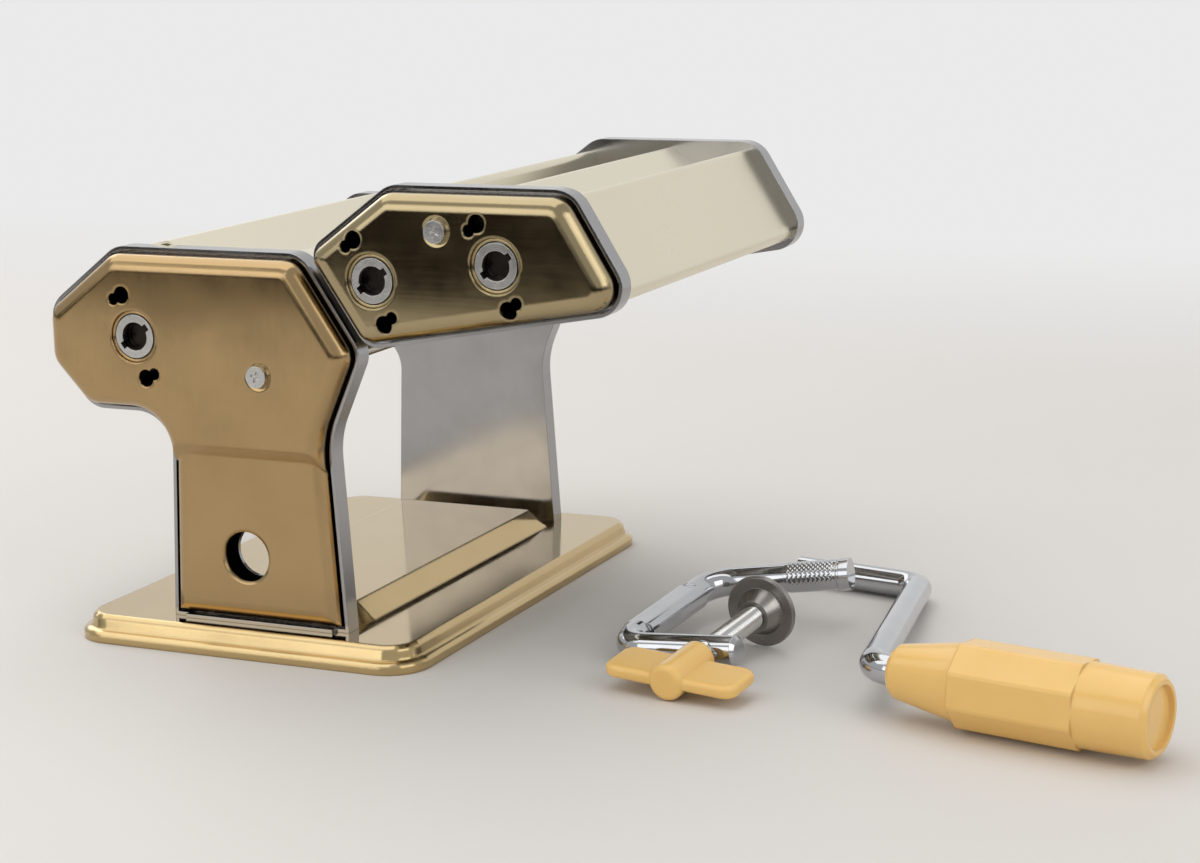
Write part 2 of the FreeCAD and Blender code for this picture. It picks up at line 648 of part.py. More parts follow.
def cutter_rails():
    rails = []
    for sx in (-1, 1):
        x = sx * RAIL_X
        stem = on_slope(x - 2.0, x + 2.0, RAIL_START, RAIL_STOP, -HOOD_INSET, 0.4)
        head = on_slope(x - 4.0, x + 4.0, RAIL_START, RAIL_STOP, 0.3, 2.0)
        rails.append(stem.fuse(head))
    feature("cutter_rails", Part.makeCompound(rails))


def scraper(y, tie):
    """A straight blade from a tie rod to just short of a roller."""
    dy, dz = tie[0] - y, tie[1] - ROLLER_Z
    far = math.hypot(dy, dz)
    dy, dz = dy / far, dz / far
    lip, root = size("roller_radius") + 0.5, far - TIE_RADIUS
    return bent_sheet([(y + root * dy, ROLLER_Z + root * dz, 0.0), (y + lip * dy, ROLLER_Z + lip * dz, 0.0)],
                      1.0, -PLATE + 2.0, PLATE - 2.0)


def roller_scrapers():
    feature("roller_scrapers", Part.makeCompound([scraper(FIXED_Y, TIES[1]), scraper(MOVING_Y, TIES[2])]))


# Thickness dial on the far side

DIAL_Y = MOVING_Y + size("gap_travel") / 2.0
DIAL_BUSH = DIAL_SHAFT + 2.0
ECCENTRIC = size("gap_travel") / 2.0
DIAL_SEAT = HEAD_FACE + 1.5
DIAL_HEIGHT = 13.0


def thickness_dial():
    shaft = rod_x(DIAL_Y, ROLLER_Z, DIAL_SHAFT, SKIN + 2.6, DIAL_SEAT + 9.0)
    cam = rod_x(DIAL_Y - ECCENTRIC, ROLLER_Z, DIAL_SHAFT + 2.2, SKIN + 2.6, SKIN + 5.2)
    feature("dial_shaft", shaft.fuse(cam))
    boss = rod_x(DIAL_Y, ROLLER_Z, DIAL_BUSH, HEAD_FACE - 4.0, HEAD_FACE + 0.6)
    collar = rod_x(DIAL_Y, ROLLER_Z, DIAL_BUSH + 2.0, HEAD_FACE, HEAD_FACE + 0.6)
    feature("dial_bush", boss.fuse(collar).cut(
        rod_x(DIAL_Y, ROLLER_Z, DIAL_SHAFT + CLEAR, SKIN, HEAD_FACE + 9)))
    skirt = rod_x(DIAL_Y, ROLLER_Z, size("dial_radius"), DIAL_SEAT, DIAL_SEAT + 4.0)
    barrel = rod_x(DIAL_Y, ROLLER_Z, size("dial_radius") - 3.5, DIAL_SEAT + 4.0, DIAL_SEAT + DIAL_HEIGHT)
    knob = skirt.fuse(barrel)
    for n in range(12):
        angle = math.radians(30 * n)
        flute_y = DIAL_Y + (size("dial_radius") - 2.7) * math.cos(angle)
        flute_z = ROLLER_Z + (size("dial_radius") - 2.7) * math.sin(angle)
        knob = knob.cut(rod_x(flute_y, flute_z, 1.6, DIAL_SEAT + 4.0, DIAL_SEAT + DIAL_HEIGHT + 1))
    well = rod_x(DIAL_Y, ROLLER_Z, DIAL_SHAFT + CLEAR, DIAL_SEAT - 1, DIAL_SEAT + 9.4)
    spring_room = rod_x(DIAL_Y, ROLLER_Z, DIAL_SHAFT + 2.4, DIAL_SEAT + 1.2, DIAL_SEAT + 7.4)
    feature("dial_knob", knob.cut(well.fuse(spring_room)))
    spring = rod_x(DIAL_Y, ROLLER_Z, DIAL_SHAFT + 1.9, DIAL_SEAT + 1.5, DIAL_SEAT + 7.1)
    feature("dial_spring", spring.cut(
        rod_x(DIAL_Y, ROLLER_Z, DIAL_SHAFT + 0.5, DIAL_SEAT, DIAL_SEAT + 9)))
    pin_y = DIAL_Y + size("dial_radius") - 3.0
    feature("dial_pin", rod_x(pin_y, ROLLER_Z, 1.2, HEAD_FACE + 0.9, DIAL_SEAT))


# Lift-off cutter

PAIR = math.hypot(size("cutter_b_y") - size("cutter_a_y"), CUTTER_B_Z - CUTTER_A_Z)
PAIR_Y = (size("cutter_b_y") - size("cutter_a_y")) / PAIR
PAIR_Z = (CUTTER_B_Z - CUTTER_A_Z) / PAIR
A_DRIVEN = (size("cutter_a_y"), CUTTER_A_Z)
B_DRIVEN = (size("cutter_b_y"), CUTTER_B_Z)
A_MATE = (A_DRIVEN[0] + size("cutter_spacing") * PAIR_Y, A_DRIVEN[1] + size("cutter_spacing") * PAIR_Z)
B_MATE = (B_DRIVEN[0] + size("cutter_spacing") * PAIR_Y, B_DRIVEN[1] + size("cutter_spacing") * PAIR_Z)
CUTTER_AXES = [A_DRIVEN, A_MATE, B_DRIVEN, B_MATE]
CUTTER_JOURNAL = 4.0
CUTTER_BUSH = 6.0
CUTTER_SCREW_Y = -76.0
CUTTER_SCREW_Z = CUTTER_TOP - 13.3
CUTTER_TIES = [(-84.5, CUTTER_TOP - 38.9), (-85.5, CUTTER_TOP - 9.9), (-127.0, CUTTER_TOP - 31.7)]
CUTTER_TIE_RADIUS = 3.0
CUTTER_TIE_END = 2.0
CUTTER_GEAR = 4.6


def cutter_plate():
    plate = slab(CUTTER, -PLATE, -SKIN)
    rim = slab(CUTTER, -SKIN, -SKIN - size("rim_depth"))
    rim = rim.cut(slab(inset(CUTTER, GAUGE), -SKIN, -SKIN - size("rim_depth")))
    holes = [rod_x(y, z, CUTTER_BUSH, -SKIN - 1, -PLATE + 1) for y, z in CUTTER_AXES]
    holes += [rod_x(y, z, CUTTER_TIE_END + 0.05, -SKIN - 1, -PLATE + 1) for y, z in CUTTER_TIES]
    holes.append(rod_x(CUTTER_SCREW_Y, CUTTER_SCREW_Z, 1.55, -SKIN - 1, -PLATE + 1))
    return fuse([plate, rim]).cut(holes[0].multiFuse(holes[1:]))


def cutter_cover(with_sockets):
    """The cutter's pressed cover, with the openings of its sockets on the crank side."""
    shell = stack(CUTTER, pressed_edge(HEAD_FACE, 0.0)).cut(stack(CUTTER, pressed_edge(HEAD_FACE, GAUGE)))
    cuts = [rod_x(CUTTER_SCREW_Y, CUTTER_SCREW_Z, 1.9, -HEAD_FACE - 1, -SKIN + 1)]
    if with_sockets:
        for y, z in (A_DRIVEN, B_DRIVEN):
            cuts.append(rod_x(y, z, size("socket_radius") + 1.5, -HEAD_FACE - 1, -HEAD_FACE + 4))
            cuts.append(keyhole(y + 6.0, z + 12.8, math.radians(-39), -HEAD_FACE))
            cuts.append(keyhole(y - 4.0, z - 13.6, math.radians(141), -HEAD_FACE))
    return shell.cut(cuts[0].multiFuse(cuts[1:]) if len(cuts) > 1 else cuts[0])


def cutter_shells():
    feature("cutter_crank_plate", cutter_plate())
    feature("cutter_dial_plate", mirrored(cutter_plate()))
    feature("cutter_crank_cover", cutter_cover(True))
    feature("cutter_dial_cover", mirrored(cutter_cover(False)))
    reach = HEAD_FACE - PLATE
    feature("cutter_screws", Part.makeCompound([
        screw_x(CUTTER_SCREW_Y, CUTTER_SCREW_Z, HEAD_FACE, reach, sign) for sign in (-1, 1)]))
    rods = []
    for y, z in CUTTER_TIES:
        bar = rod_x(y, z, CUTTER_TIE_RADIUS, -PLATE, PLATE)
        rods.append(bar.fuse(rod_x(y, z, CUTTER_TIE_END, -SKIN - 1.2, SKIN + 1.2)))
    feature("cutter_tie_rods", Part.makeCompound(rods))


def cutter_sheets():
    feature("cutter_front_guide", bent_sheet([
        (-109.5, CUTTER_TOP - 9.1, 0.0), (-115.6, CUTTER_TOP - 3.0, 1.2), (-133.4, CUTTER_TOP - 31.9, 3.0),
        (-130.0, CUTTER_TOP - 34.5, 0.0),
    ], -THIN, -PLATE, PLATE))
    feature("cutter_middle_guide", bent_sheet([
        (-72.0, CUTTER_TOP - 12.7, 0.0), (-84.4, CUTTER_TOP - 3.0, 1.2), (-86.6, CUTTER_TOP - 3.0, 1.2),
        (-101.5, CUTTER_TOP - 10.5, 0.0),
    ], THIN, -PLATE, PLATE))
    gap = CUTTER_STANDOFF + HOOD_INSET
    low_y, low_z = NOSE_Y - gap * RAIL_Z + 1.0 * RAIL_Y, NOSE_Z + gap * RAIL_Y + 1.0 * RAIL_Z
    reach = 32.0
    feature("cutter_rear_guide", bent_sheet([
        (low_y, low_z, 0.0), (low_y + reach * RAIL_Y, low_z + reach * RAIL_Z, 2.5),
        (-55.4, CUTTER_TOP - 2.7, 2.5), (-58.4, CUTTER_TOP - 14.9, 0.0)], THIN, -PLATE, PLATE))
    channels = []
    for sx in (-1, 1):
        x = sx * RAIL_X
        body = on_slope(x - 7.0, x + 7.0, RAIL_START, RAIL_STOP + 2.0, -0.8, gap)
        room = on_slope(x - 4.3, x + 4.3, RAIL_START - 1, RAIL_STOP + 0.3, 0.0, 2.3)
        slot = on_slope(x - 2.3, x + 2.3, RAIL_START - 1, RAIL_STOP + 0.3, -1.0, 0.2)
        channels.append(body.cut(room.fuse(slot)))
    feature("cutter_channels", Part.makeCompound(channels))


def ring_profile(ribbon, shift):
    """A cutting roller from end to end: journals, then rings one ribbon wide with one ribbon between."""
    half = PLATE - 1.0
    ring = ribbon - 0.3
    profile = [(-SKIN - 1.6, CUTTER_JOURNAL), (-half, CUTTER_JOURNAL), (-half, size("cutter_groove"))]
    count = int((2 * half - 6.0) / (2 * ribbon))
    start = -count * ribbon + shift * ribbon
    for n in range(count):
        x = start + 2 * ribbon * n + 0.15
        profile += [(x, size("cutter_groove")), (x, size("cutter_radius")),
                    (x + ring, size("cutter_radius")), (x + ring, size("cutter_groove"))]
    return profile + [(half, size("cutter_groove")), (half, CUTTER_JOURNAL), (SKIN + 1.6, CUTTER_JOURNAL)]


def cutter_rollers():
    step = math.pi / size("cutter_teeth")
    lean = math.atan2(PAIR_Z, PAIR_Y)
    for name, driven, mate, ribbon, sign in (
            ("fine", A_DRIVEN, A_MATE, size("fine_ribbon"), -1),
            ("wide", B_DRIVEN, B_MATE, size("wide_ribbon"), 1)):
        gear_end = sign * (SKIN + 1.6)
        gear_out = sign * (SKIN + 1.6 + CUTTER_GEAR)
        for role, (y, z), shift, phase in (("driven", driven, 0.0, lean), ("mate", mate, 1.0, lean + step)):
            profile = ring_profile(ribbon, shift - 0.5)
            if sign < 0:
                profile[0] = (gear_out, CUTTER_JOURNAL)
            else:
                profile[-1] = (gear_out, CUTTER_JOURNAL)
            turned("%s_cutter_%s" % (name, role), profile, y, z)
            feature("%s_%s_gear" % (name, role), gear(
                size("cutter_teeth"), size("cutter_spacing") / size("cutter_teeth"), min(gear_end, gear_out),
                max(gear_end, gear_out), y, z, CUTTER_JOURNAL, phase))
    for name, (y, z), root in (("fine", A_DRIVEN, -SKIN - 1.6 - CUTTER_GEAR), ("wide", B_DRIVEN, -SKIN - 1.6)):
        feature("%s_cutter_socket" % name, crank_socket(y, z, CUTTER_JOURNAL, root))
    bushes = []
    for y, z in CUTTER_AXES:
        for sign in (-1, 1):
            ring = rod_x(y, z, CUTTER_BUSH, sign * PLATE, sign * (SKIN + 0.8))
            flange = rod_x(y, z, CUTTER_BUSH + 1.4, sign * SKIN, sign * (SKIN + 0.8))
            ring = ring.fuse(flange)
            bushes.append(ring.cut(rod_x(y, z, CUTTER_JOURNAL + CLEAR, -SKIN - 9, SKIN + 9)))
    feature("cutter_bushes", Part.makeCompound(bushes))


# Loose crank and clamp, as they lie on the table

def bent_rod(points, bends, radius):
    """A round rod along straight runs with arcs at the bends."""
    edges = []
    last = points[0]
    for i in range(1, len(points) - 1):
        p = points[i]
        before = points[i - 1].sub(p)
        after = points[i + 1].sub(p)
        before.normalize()
        after.normalize()
        half = before.getAngle(after) / 2.0
        leg = bends[i - 1] / math.tan(half)
        start = p.add(V(before).multiply(leg))
        end = p.add(V(after).multiply(leg))
        bisector = before.add(after)
        bisector.normalize()
        centre = p.add(V(bisector).multiply(bends[i - 1] / math.sin(half)))
        edges.append(Part.makeLine(last, start))
        edges.append(Part.Arc(start, centre.sub(V(bisector).multiply(bends[i - 1])), end).toShape())
        last = end
    edges.append(Part.makeLine(last, points[-1]))
    along = points[1].sub(points[0])
    circle = Part.Wire(Part.makeCircle(radius, points[0], along))
    return Part.Wire(edges).makePipeShell([circle], True, True)


CRANK_AT = V(-75.3, -211.4, 13.9)
CRANK_HEADING = 11.5
CRANK_TILT = 4.4
GRIP_START = 8.0
GRIP_BORE = 68.0
FLATS_START = 23.0
FLATS_LENGTH = 39.0
CLAMP_AT = V(-56.0, -120.8, 5.3)
CLAMP_YAW = -7.1
CLAMP_PITCH = -5.8
CLAMP_ROLL = -6.2
WING_ROLL = -8.5


def crank_placement():
    turn = FreeCAD.Rotation(V(0, 0, 1), -90.0 - CRANK_HEADING)
    tilt = FreeCAD.Rotation(V(1, 0, 0), -CRANK_TILT)
    return FreeCAD.Placement(CRANK_AT, turn.multiply(tilt))


def crank():
    lean = math.radians(size("crank_lean"))
    rod = size("rod_radius")
    upper = V(size("crank_arm") * math.cos(lean), size("crank_arm") * math.sin(lean), 0)
    tail = V(upper.x - size("crank_tail"), upper.y, 0)
    path = [V(GRIP_START + GRIP_BORE, 0, 0), V(0, 0, 0), upper, tail]
    bar = bent_rod(path, [9.0, 9.0], rod)
    spigot = Part.makeCylinder(size("socket_bore") - 0.3, 12.0, V(tail.x - 12.0, tail.y, 0), V(1, 0, 0))
    hole = Part.makeCylinder(1.25, 20, V(tail.x - 8.0, tail.y - 10, 0), V(0, 1, 0))
    pieces_here = [("crank_rod", bar.fuse(spigot).cut(hole))]
    pin = Part.makeCylinder(1.25, 12.0, V(tail.x - 8.0, tail.y - 6.0, 0), V(0, 1, 0))
    pieces_here.append(("crank_cross_pin", pin))
    radius, length = size("grip_radius"), size("grip_length")
    profile = [(0.0, 0.0), (0.0, 7.0), (1.6, 8.4), (22.0, radius - 1.2), (62.0, radius - 0.5),
               (length - 1.6, radius - 0.9), (length, radius - 2.4), (length, 9.4),
               (length - 1.6, 9.2), (length - 1.6, 0.0)]
    wire = Part.makePolygon([V(GRIP_START + x, r, 0) for x, r in profile] + [V(GRIP_START, 0, 0)])
    grip = Part.Face(wire).revolve(V(0, 0, 0), V(1, 0, 0), 360)
    flats = []
    reach = (radius - 0.5) / math.cos(math.radians(22.5))
    for n in range(9):
        angle = math.radians(45 * n + 22.5)
        flats.append(V(GRIP_START + FLATS_START, reach * math.cos(angle), reach * math.sin(angle)))
    prism = Part.Face(Part.makePolygon(flats)).extrude(V(FLATS_LENGTH, 0, 0))
    limit = Part.makeCylinder(radius + 0.35, FLATS_LENGTH, V(GRIP_START + FLATS_START, 0, 0), V(1, 0, 0))
    grip = grip.fuse(prism.common(limit))
    bore = Part.makeCylinder(rod + CLEAR, GRIP_BORE + 0.4, V(GRIP_START - 0.2, 0, 0), V(1, 0, 0))
    pieces_here.append(("crank_grip", grip.cut(bore)))
    for label, shape in pieces_here:
        feature(label, shape).Placement = crank_placement()


def clamp_placement():
    yaw = FreeCAD.Rotation(V(0, 0, 1), CLAMP_YAW)
    pitch = FreeCAD.Rotation(V(0, 1, 0), CLAMP_PITCH)
    roll = FreeCAD.Rotation(V(1, 0, 0), CLAMP_ROLL)
    return FreeCAD.Placement(CLAMP_AT, yaw.multiply(pitch).multiply(roll))


BACK_START = 12.0
BACK_END = 14.5
BACK_WIDE = 11.6
BACK_THICK = 8.0
SLEEVE_START = 26.8
COLLAR_LENGTH = 3.4
COLLAR_GROOVE = 0.9
DISC_AT = 35.2
DISC_THICK = 2.0
CONE_LENGTH = 5.2
HUB_RADIUS = 5.9
HUB_LENGTH = 22.0
HUB_END = -29.8
WING_LONG = 18.0
WING_THICK = 4.2
WING_CORNER = 4.5


def flattened_back(bar, rod, spine):
    """The clamp's bar with its back hammered flat and a little wider between the bends."""
    length = spine - BACK_START - BACK_END
    flat = Part.makeBox(length, BACK_WIDE, BACK_THICK, V(BACK_START, -BACK_WIDE / 2.0, -BACK_THICK / 2.0))
    flat = flat.makeFillet(BACK_THICK * 0.36, [e for e in flat.Edges if abs(e.Length - length) < 0.01])
    above = Part.makeBox(length, 4 * rod, rod, V(BACK_START, -2 * rod, BACK_THICK / 2.0))
    below = Part.makeBox(length, 4 * rod, rod, V(BACK_START, -2 * rod, -BACK_THICK / 2.0 - rod))
    return bar.cut(above.fuse(below)).fuse(flat)


def wing_blade(span):
    """The wing knob's flat blade with rounded corners and rims."""
    blade = Part.makeBox(WING_LONG, span, WING_THICK, V(HUB_END + 0.8, -span / 2.0, -WING_THICK / 2.0))
    blade = blade.makeFillet(WING_CORNER, [e for e in blade.Edges if abs(e.Length - WING_THICK) < 0.01])
    rims = [e for e in blade.Edges if e.BoundBox.ZLength < 0.01]
    return blade.makeFillet(WING_THICK * 0.38, rims)


def clamp():
    rod, spine = size("rod_radius"), size("clamp_spine")
    splay = math.radians(size("clamp_splay"))
    high, at, radius = size("clamp_high_arm"), size("clamp_screw_at"), size("screw_radius")
    along = V(1, 0, 0)
    out = V(math.sin(splay), -math.cos(splay), 0)
    low_end = V(0, -size("clamp_low_arm"), 0)
    high_end = V(spine, 0, 0).add(V(out).multiply(high))
    bar = bent_rod([low_end, V(0, 0, 0), V(spine, 0, 0), high_end], [9.0, 13.0], rod)
    bar = bar.makeChamfer(1.2, [e for e in bar.Edges if e.CenterOfMass.distanceToPoint(low_end) < 0.1])
    bar = flattened_back(bar, rod, spine)

    def ring(start, end, grow):
        """A ring on the upper arm, by distance from the back."""
        return Part.makeCylinder(rod + grow, end - start, V(spine, 0, 0).add(V(out).multiply(start)), out)
    neck = high - COLLAR_LENGTH - COLLAR_GROOVE
    sleeve = ring(SLEEVE_START, neck, 0.35)
    collar = ring(high - COLLAR_LENGTH, high, 0.7)
    eye = Part.makeCylinder(radius + 0.08, 4 * rod, V(-2 * rod, -at, 0), along)
    pieces_here = [("clamp_bar", bar.fuse([sleeve, collar]).cut(eye))]
    screw = Part.makeCylinder(radius, 56.0, V(-22.0, -at, 0), along)
    pieces_here.append(("clamp_screw", screw))
    disc = Part.makeCylinder(size("disc_radius"), DISC_THICK, V(DISC_AT, -at, 0), along)
    disc = disc.makeChamfer(0.5, [e for e in disc.Edges if e.Length > 1.5 * DISC_THICK])
    cone = Part.makeCone(5.4, 8.0, CONE_LENGTH, V(DISC_AT - CONE_LENGTH, -at, 0), along)
    seat = Part.makeCylinder(radius + CLEAR, 4.4, V(DISC_AT - CONE_LENGTH - 0.2, -at, 0), along)
    pieces_here.append(("pressure_disc", disc.fuse(cone).cut(seat)))
    hub = Part.makeCylinder(HUB_RADIUS, HUB_LENGTH, V(HUB_END, -at, 0), along)
    hub = hub.makeFillet(1.8, [e for e in hub.Edges if abs(e.CenterOfMass.x - HUB_END) < 0.01])
    wing = wing_blade(size("wing_span"))
    wing.rotate(V(0, 0, 0), along, -WING_ROLL)
    wing.translate(V(0, -at, 0))
    socket = Part.makeCylinder(radius, 16.0, V(-22.0, -at, 0), along)
    pieces_here.append(("wing_knob", hub.fuse(wing).cut(socket)))
    for label, shape in pieces_here:
        feature(label, shape).Placement = clamp_placement()


base_plate()
base_feet()
side_plates_and_covers()
cover_screws()
leg_bolts()
tie_rods()
tie_nuts()
head_hoods()
cutter_rails()
roller_scrapers()
rollers()
main_drive()
thickness_dial()
cutter_shells()
cutter_sheets()
cutter_rollers()
crank()
clamp()

doc.recompute()
broken = [o.Name for o in doc.Objects if "Invalid" in o.State or "Error" in o.State]
if broken:
    raise RuntimeError("failed: " + ", ".join(broken))
os.makedirs("parts", exist_ok=True)
for piece in pieces:
    shape = piece.Shape
    if shape.isNull() or not shape.isValid():
        raise RuntimeError("bad shape: " + piece.Label)
    shape.exportStep(os.path.join("parts", piece.Label + ".step"))
    print(piece.Label, len(shape.Solids), round(shape.Volume, 1))
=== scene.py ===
"""Studio scene of a hand-cranked pasta roller machine.

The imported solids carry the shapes. This script gives every solid its finish, replaces the clamp's
plain screw by a threaded one, adds the knurl of the clamp's sleeve, the numbers of the dial and the
rolled rims round the crank sockets, and sets the floor, the lights and the camera.
"""

import json
import logging
import math
from dataclasses import dataclass, replace
from enum import Enum
from typing import Any, Callable, Mapping, Optional, Sequence

import bpy
import numpy as np
from mathutils import Matrix, Vector


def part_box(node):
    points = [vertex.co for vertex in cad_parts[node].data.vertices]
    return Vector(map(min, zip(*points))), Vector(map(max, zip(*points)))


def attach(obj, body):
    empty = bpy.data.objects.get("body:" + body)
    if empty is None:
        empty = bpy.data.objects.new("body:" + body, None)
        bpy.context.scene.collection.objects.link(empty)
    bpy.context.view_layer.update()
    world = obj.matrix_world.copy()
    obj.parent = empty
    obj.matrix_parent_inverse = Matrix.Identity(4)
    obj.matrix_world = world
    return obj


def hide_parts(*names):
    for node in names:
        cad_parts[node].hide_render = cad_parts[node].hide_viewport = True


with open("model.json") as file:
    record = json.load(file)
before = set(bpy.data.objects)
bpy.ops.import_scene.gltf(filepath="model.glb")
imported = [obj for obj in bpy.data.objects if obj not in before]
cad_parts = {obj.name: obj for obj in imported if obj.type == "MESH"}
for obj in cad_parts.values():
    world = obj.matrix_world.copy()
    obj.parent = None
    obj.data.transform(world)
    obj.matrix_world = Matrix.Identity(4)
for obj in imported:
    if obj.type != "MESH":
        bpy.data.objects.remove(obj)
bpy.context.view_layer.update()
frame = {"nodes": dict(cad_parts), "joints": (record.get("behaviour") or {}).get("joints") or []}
LOG = logging.getLogger("pasta_roller")
MM = 0.001
FULL_TURN = 2.0 * math.pi
# the Mix node's two colour inputs and its colour output, by number
MIX_A, MIX_B, MIX_OUT = 6, 7, 2
# rays that average the light's view of a rounded edge
EDGE_RAYS = 6
# streaks of a grain are this many times longer than wide, and count this much against the haze
GRAIN_LENGTH, STREAK_SHARE = 40.0, 0.3
# the part of the noise's range that roughness is spread over, for metal and for moulded skins
WORN_FROM, WORN_TO = 0.42, 0.86
FLOW_FROM, FLOW_TO = 0.3, 0.7
COAT_ROUGHNESS = 0.08
# radius in metres that the end rows of a turned piece run in to
POLE_RADIUS = 1e-6
# dark colour painted down the crank sockets' bores as shade
BORE_SHADE_DARK = "332F2B"


def linear(hex_colour: str) -> tuple[float, float, float, float]:
    """Turns an sRGB hex value into a linear colour.

    Args:
        hex_colour: six hex digits, such as "A98B5E".

    Returns:
        Linear red, green, blue and an alpha of 1.
    """
    srgb = np.array([int(hex_colour[i:i + 2], 16) for i in (0, 2, 4)]) / 255.0
    low, high = srgb / 12.92, ((srgb + 0.055) / 1.055) ** 2.4
    red, green, blue = np.where(srgb <= 0.04045, low, high)
    return float(red), float(green), float(blue), 1.0


def per_mm(length_mm: float) -> float:
    """Texture scale that gives one cell of a pattern the stated length in millimetres."""
    return 1000.0 / length_mm


def add_node(tree: bpy.types.NodeTree, kind: str, settings: Optional[Mapping[Any, Any]] = None,
             links: Optional[Mapping[Any, bpy.types.NodeSocket]] = None) -> bpy.types.Node:
    """Adds one shader node with its settings and links.

    Args:
        tree: node tree that gets the node.
        kind: Blender's type name of the node.
        settings: values by property name, input name or input number.
        links: output sockets by the input name or number that they feed.

    Returns:
        The new node.
    """
    node = tree.nodes.new(kind)
    for key, value in (settings or {}).items():
        if isinstance(key, int) or key in node.inputs:
            node.inputs[key].default_value = value
        else:
            setattr(node, key, value)
    for key, socket in (links or {}).items():
        tree.links.new(socket, node.inputs[key])
    return node


class Grain(Enum):
    """Axis that the fine lines of a rolled, ground or turned surface run along."""

    X = 0
    Y = 1
    Z = 2

    def stretch(self, across_mm: float, ratio: float) -> tuple[float, float, float]:
        """Works out a pattern's scale per axis: fine across the grain, longer along it.

        Args:
            across_mm: size of the pattern across the grain.
            ratio: how many times longer it is along the grain.

        Returns:
            Scale along X, Y and Z.
        """
        scale = [per_mm(across_mm)] * 3
        scale[self.value] = per_mm(across_mm * ratio)
        return scale[0], scale[1], scale[2]


@dataclass(frozen=True)
class MetalFinish:
    """A metal surface: its colour, the haze of its polish, its grain and the waves of its pressing.

    The haze is a slow change of roughness, as wiped and handled sheet shows it. The grain is drawn
    as a shallow bump that stretches highlights, coarser than on real sheet so that it shows in the
    render, and the waves bend wide reflections. A dish is the sunk ring that the press leaves round
    an opening: y, z, inner and outer radius in millimetres. Painted shade darkens the metal from one
    X to the other, as shade falls down a deep bore. The edge is the radius that the light sees on
    bends and rims.
    """

    name: str
    colour: str
    shade: str
    smooth: float
    rough: float
    haze_mm: float
    grain: Grain
    grain_mm: float
    grain_depth_mm: float
    wave_mm: float = 40.0
    wave_depth_mm: float = 0.0
    coat: float = 0.0
    dishes: tuple[tuple[float, float, float, float], ...] = ()
    dish_depth_mm: float = 0.35
    # X span, in millimetres, over which painted shade darkens a bore
    bore_shade_x_mm: tuple[float, float] = (0.0, 0.0)
    edge_mm: float = 0.3

    def material(self) -> bpy.types.Material:
        """Builds the node material of this finish.

        Returns:
            The material, named for the finish.
        """
        material = bpy.data.materials.new(self.name)
        material.use_nodes = True
        tree = material.node_tree
        shader = tree.nodes["Principled BSDF"]
        shader.inputs["Metallic"].default_value = 1.0
        shader.inputs["Coat Weight"].default_value = self.coat
        shader.inputs["Coat Roughness"].default_value = COAT_ROUGHNESS
        place = add_node(tree, "ShaderNodeTexCoord").outputs["Object"]
        haze = add_node(tree, "ShaderNodeTexNoise",
                        {"Scale": per_mm(self.haze_mm), "Detail": 5.0, "Roughness": 0.62}, {"Vector": place})
        lines = add_node(tree, "ShaderNodeMapping",
                         {"Scale": self.grain.stretch(self.grain_mm, GRAIN_LENGTH)}, {"Vector": place})
        streaks = add_node(tree, "ShaderNodeTexNoise", {"Scale": 1.0, "Detail": 3.0},
                           {"Vector": lines.outputs[0]})
        worn = add_node(tree, "ShaderNodeMath", {"operation": "MULTIPLY_ADD", 1: STREAK_SHARE},
                        {0: streaks.outputs[0], 2: haze.outputs[0]})
        gloss = add_node(tree, "ShaderNodeMapRange",
                         {"From Min": WORN_FROM, "From Max": WORN_TO, "To Min": self.smooth,
                          "To Max": self.rough}, {"Value": worn.outputs[0]})
        tint = add_node(tree, "ShaderNodeMix",
                        {"data_type": "RGBA", MIX_A: linear(self.colour), MIX_B: linear(self.shade)},
                        {0: haze.outputs[0]})
        waves = add_node(tree, "ShaderNodeTexNoise", {"Scale": per_mm(self.wave_mm), "Detail": 1.0},
                         {"Vector": place})
        soft = add_node(tree, "ShaderNodeBevel", {"samples": EDGE_RAYS, "Radius": self.edge_mm * MM})
        pressed = add_node(tree, "ShaderNodeBump", {"Distance": self.wave_depth_mm * MM},
                           {"Height": waves.outputs[0], "Normal": soft.outputs[0]})
        ground = add_node(tree, "ShaderNodeBump", {"Distance": self.grain_depth_mm * MM},
                          {"Height": streaks.outputs[0],
                           "Normal": self.dished(tree, place, pressed.outputs[0])})
        tree.links.new(self.shade_bore(tree, place, tint.outputs[MIX_OUT]), shader.inputs["Base Color"])
        tree.links.new(gloss.outputs[0], shader.inputs["Roughness"])
        tree.links.new(ground.outputs[0], shader.inputs["Normal"])
        return material

    def dished(self, tree: bpy.types.NodeTree, place: bpy.types.NodeSocket,
               normal: bpy.types.NodeSocket) -> bpy.types.NodeSocket:
        """Sinks a ring into the surface round each opening that has a dish.

        Args:
            tree: node tree of the material.
            place: the piece's Object coordinates.
            normal: surface direction so far.

        Returns:
            The surface direction with the dishes.
        """
        for y, z, inner, outer in self.dishes:
            middle = add_node(tree, "ShaderNodeVectorMath",
                              {"operation": "SUBTRACT", 1: (0.0, y * MM, z * MM)}, {0: place})
            flat = add_node(tree, "ShaderNodeVectorMath", {"operation": "MULTIPLY", 1: (0.0, 1.0, 1.0)},
                            {0: middle.outputs[0]})
            away = add_node(tree, "ShaderNodeVectorMath", {"operation": "LENGTH"}, {0: flat.outputs[0]})
            rise = add_node(tree, "ShaderNodeMapRange",
                            {"interpolation_type": "SMOOTHSTEP", "From Min": inner * MM,
                             "From Max": outer * MM}, {"Value": away.outputs["Value"]})
            normal = add_node(tree, "ShaderNodeBump", {"Distance": self.dish_depth_mm * MM},
                              {"Height": rise.outputs[0], "Normal": normal}).outputs[0]
        return normal

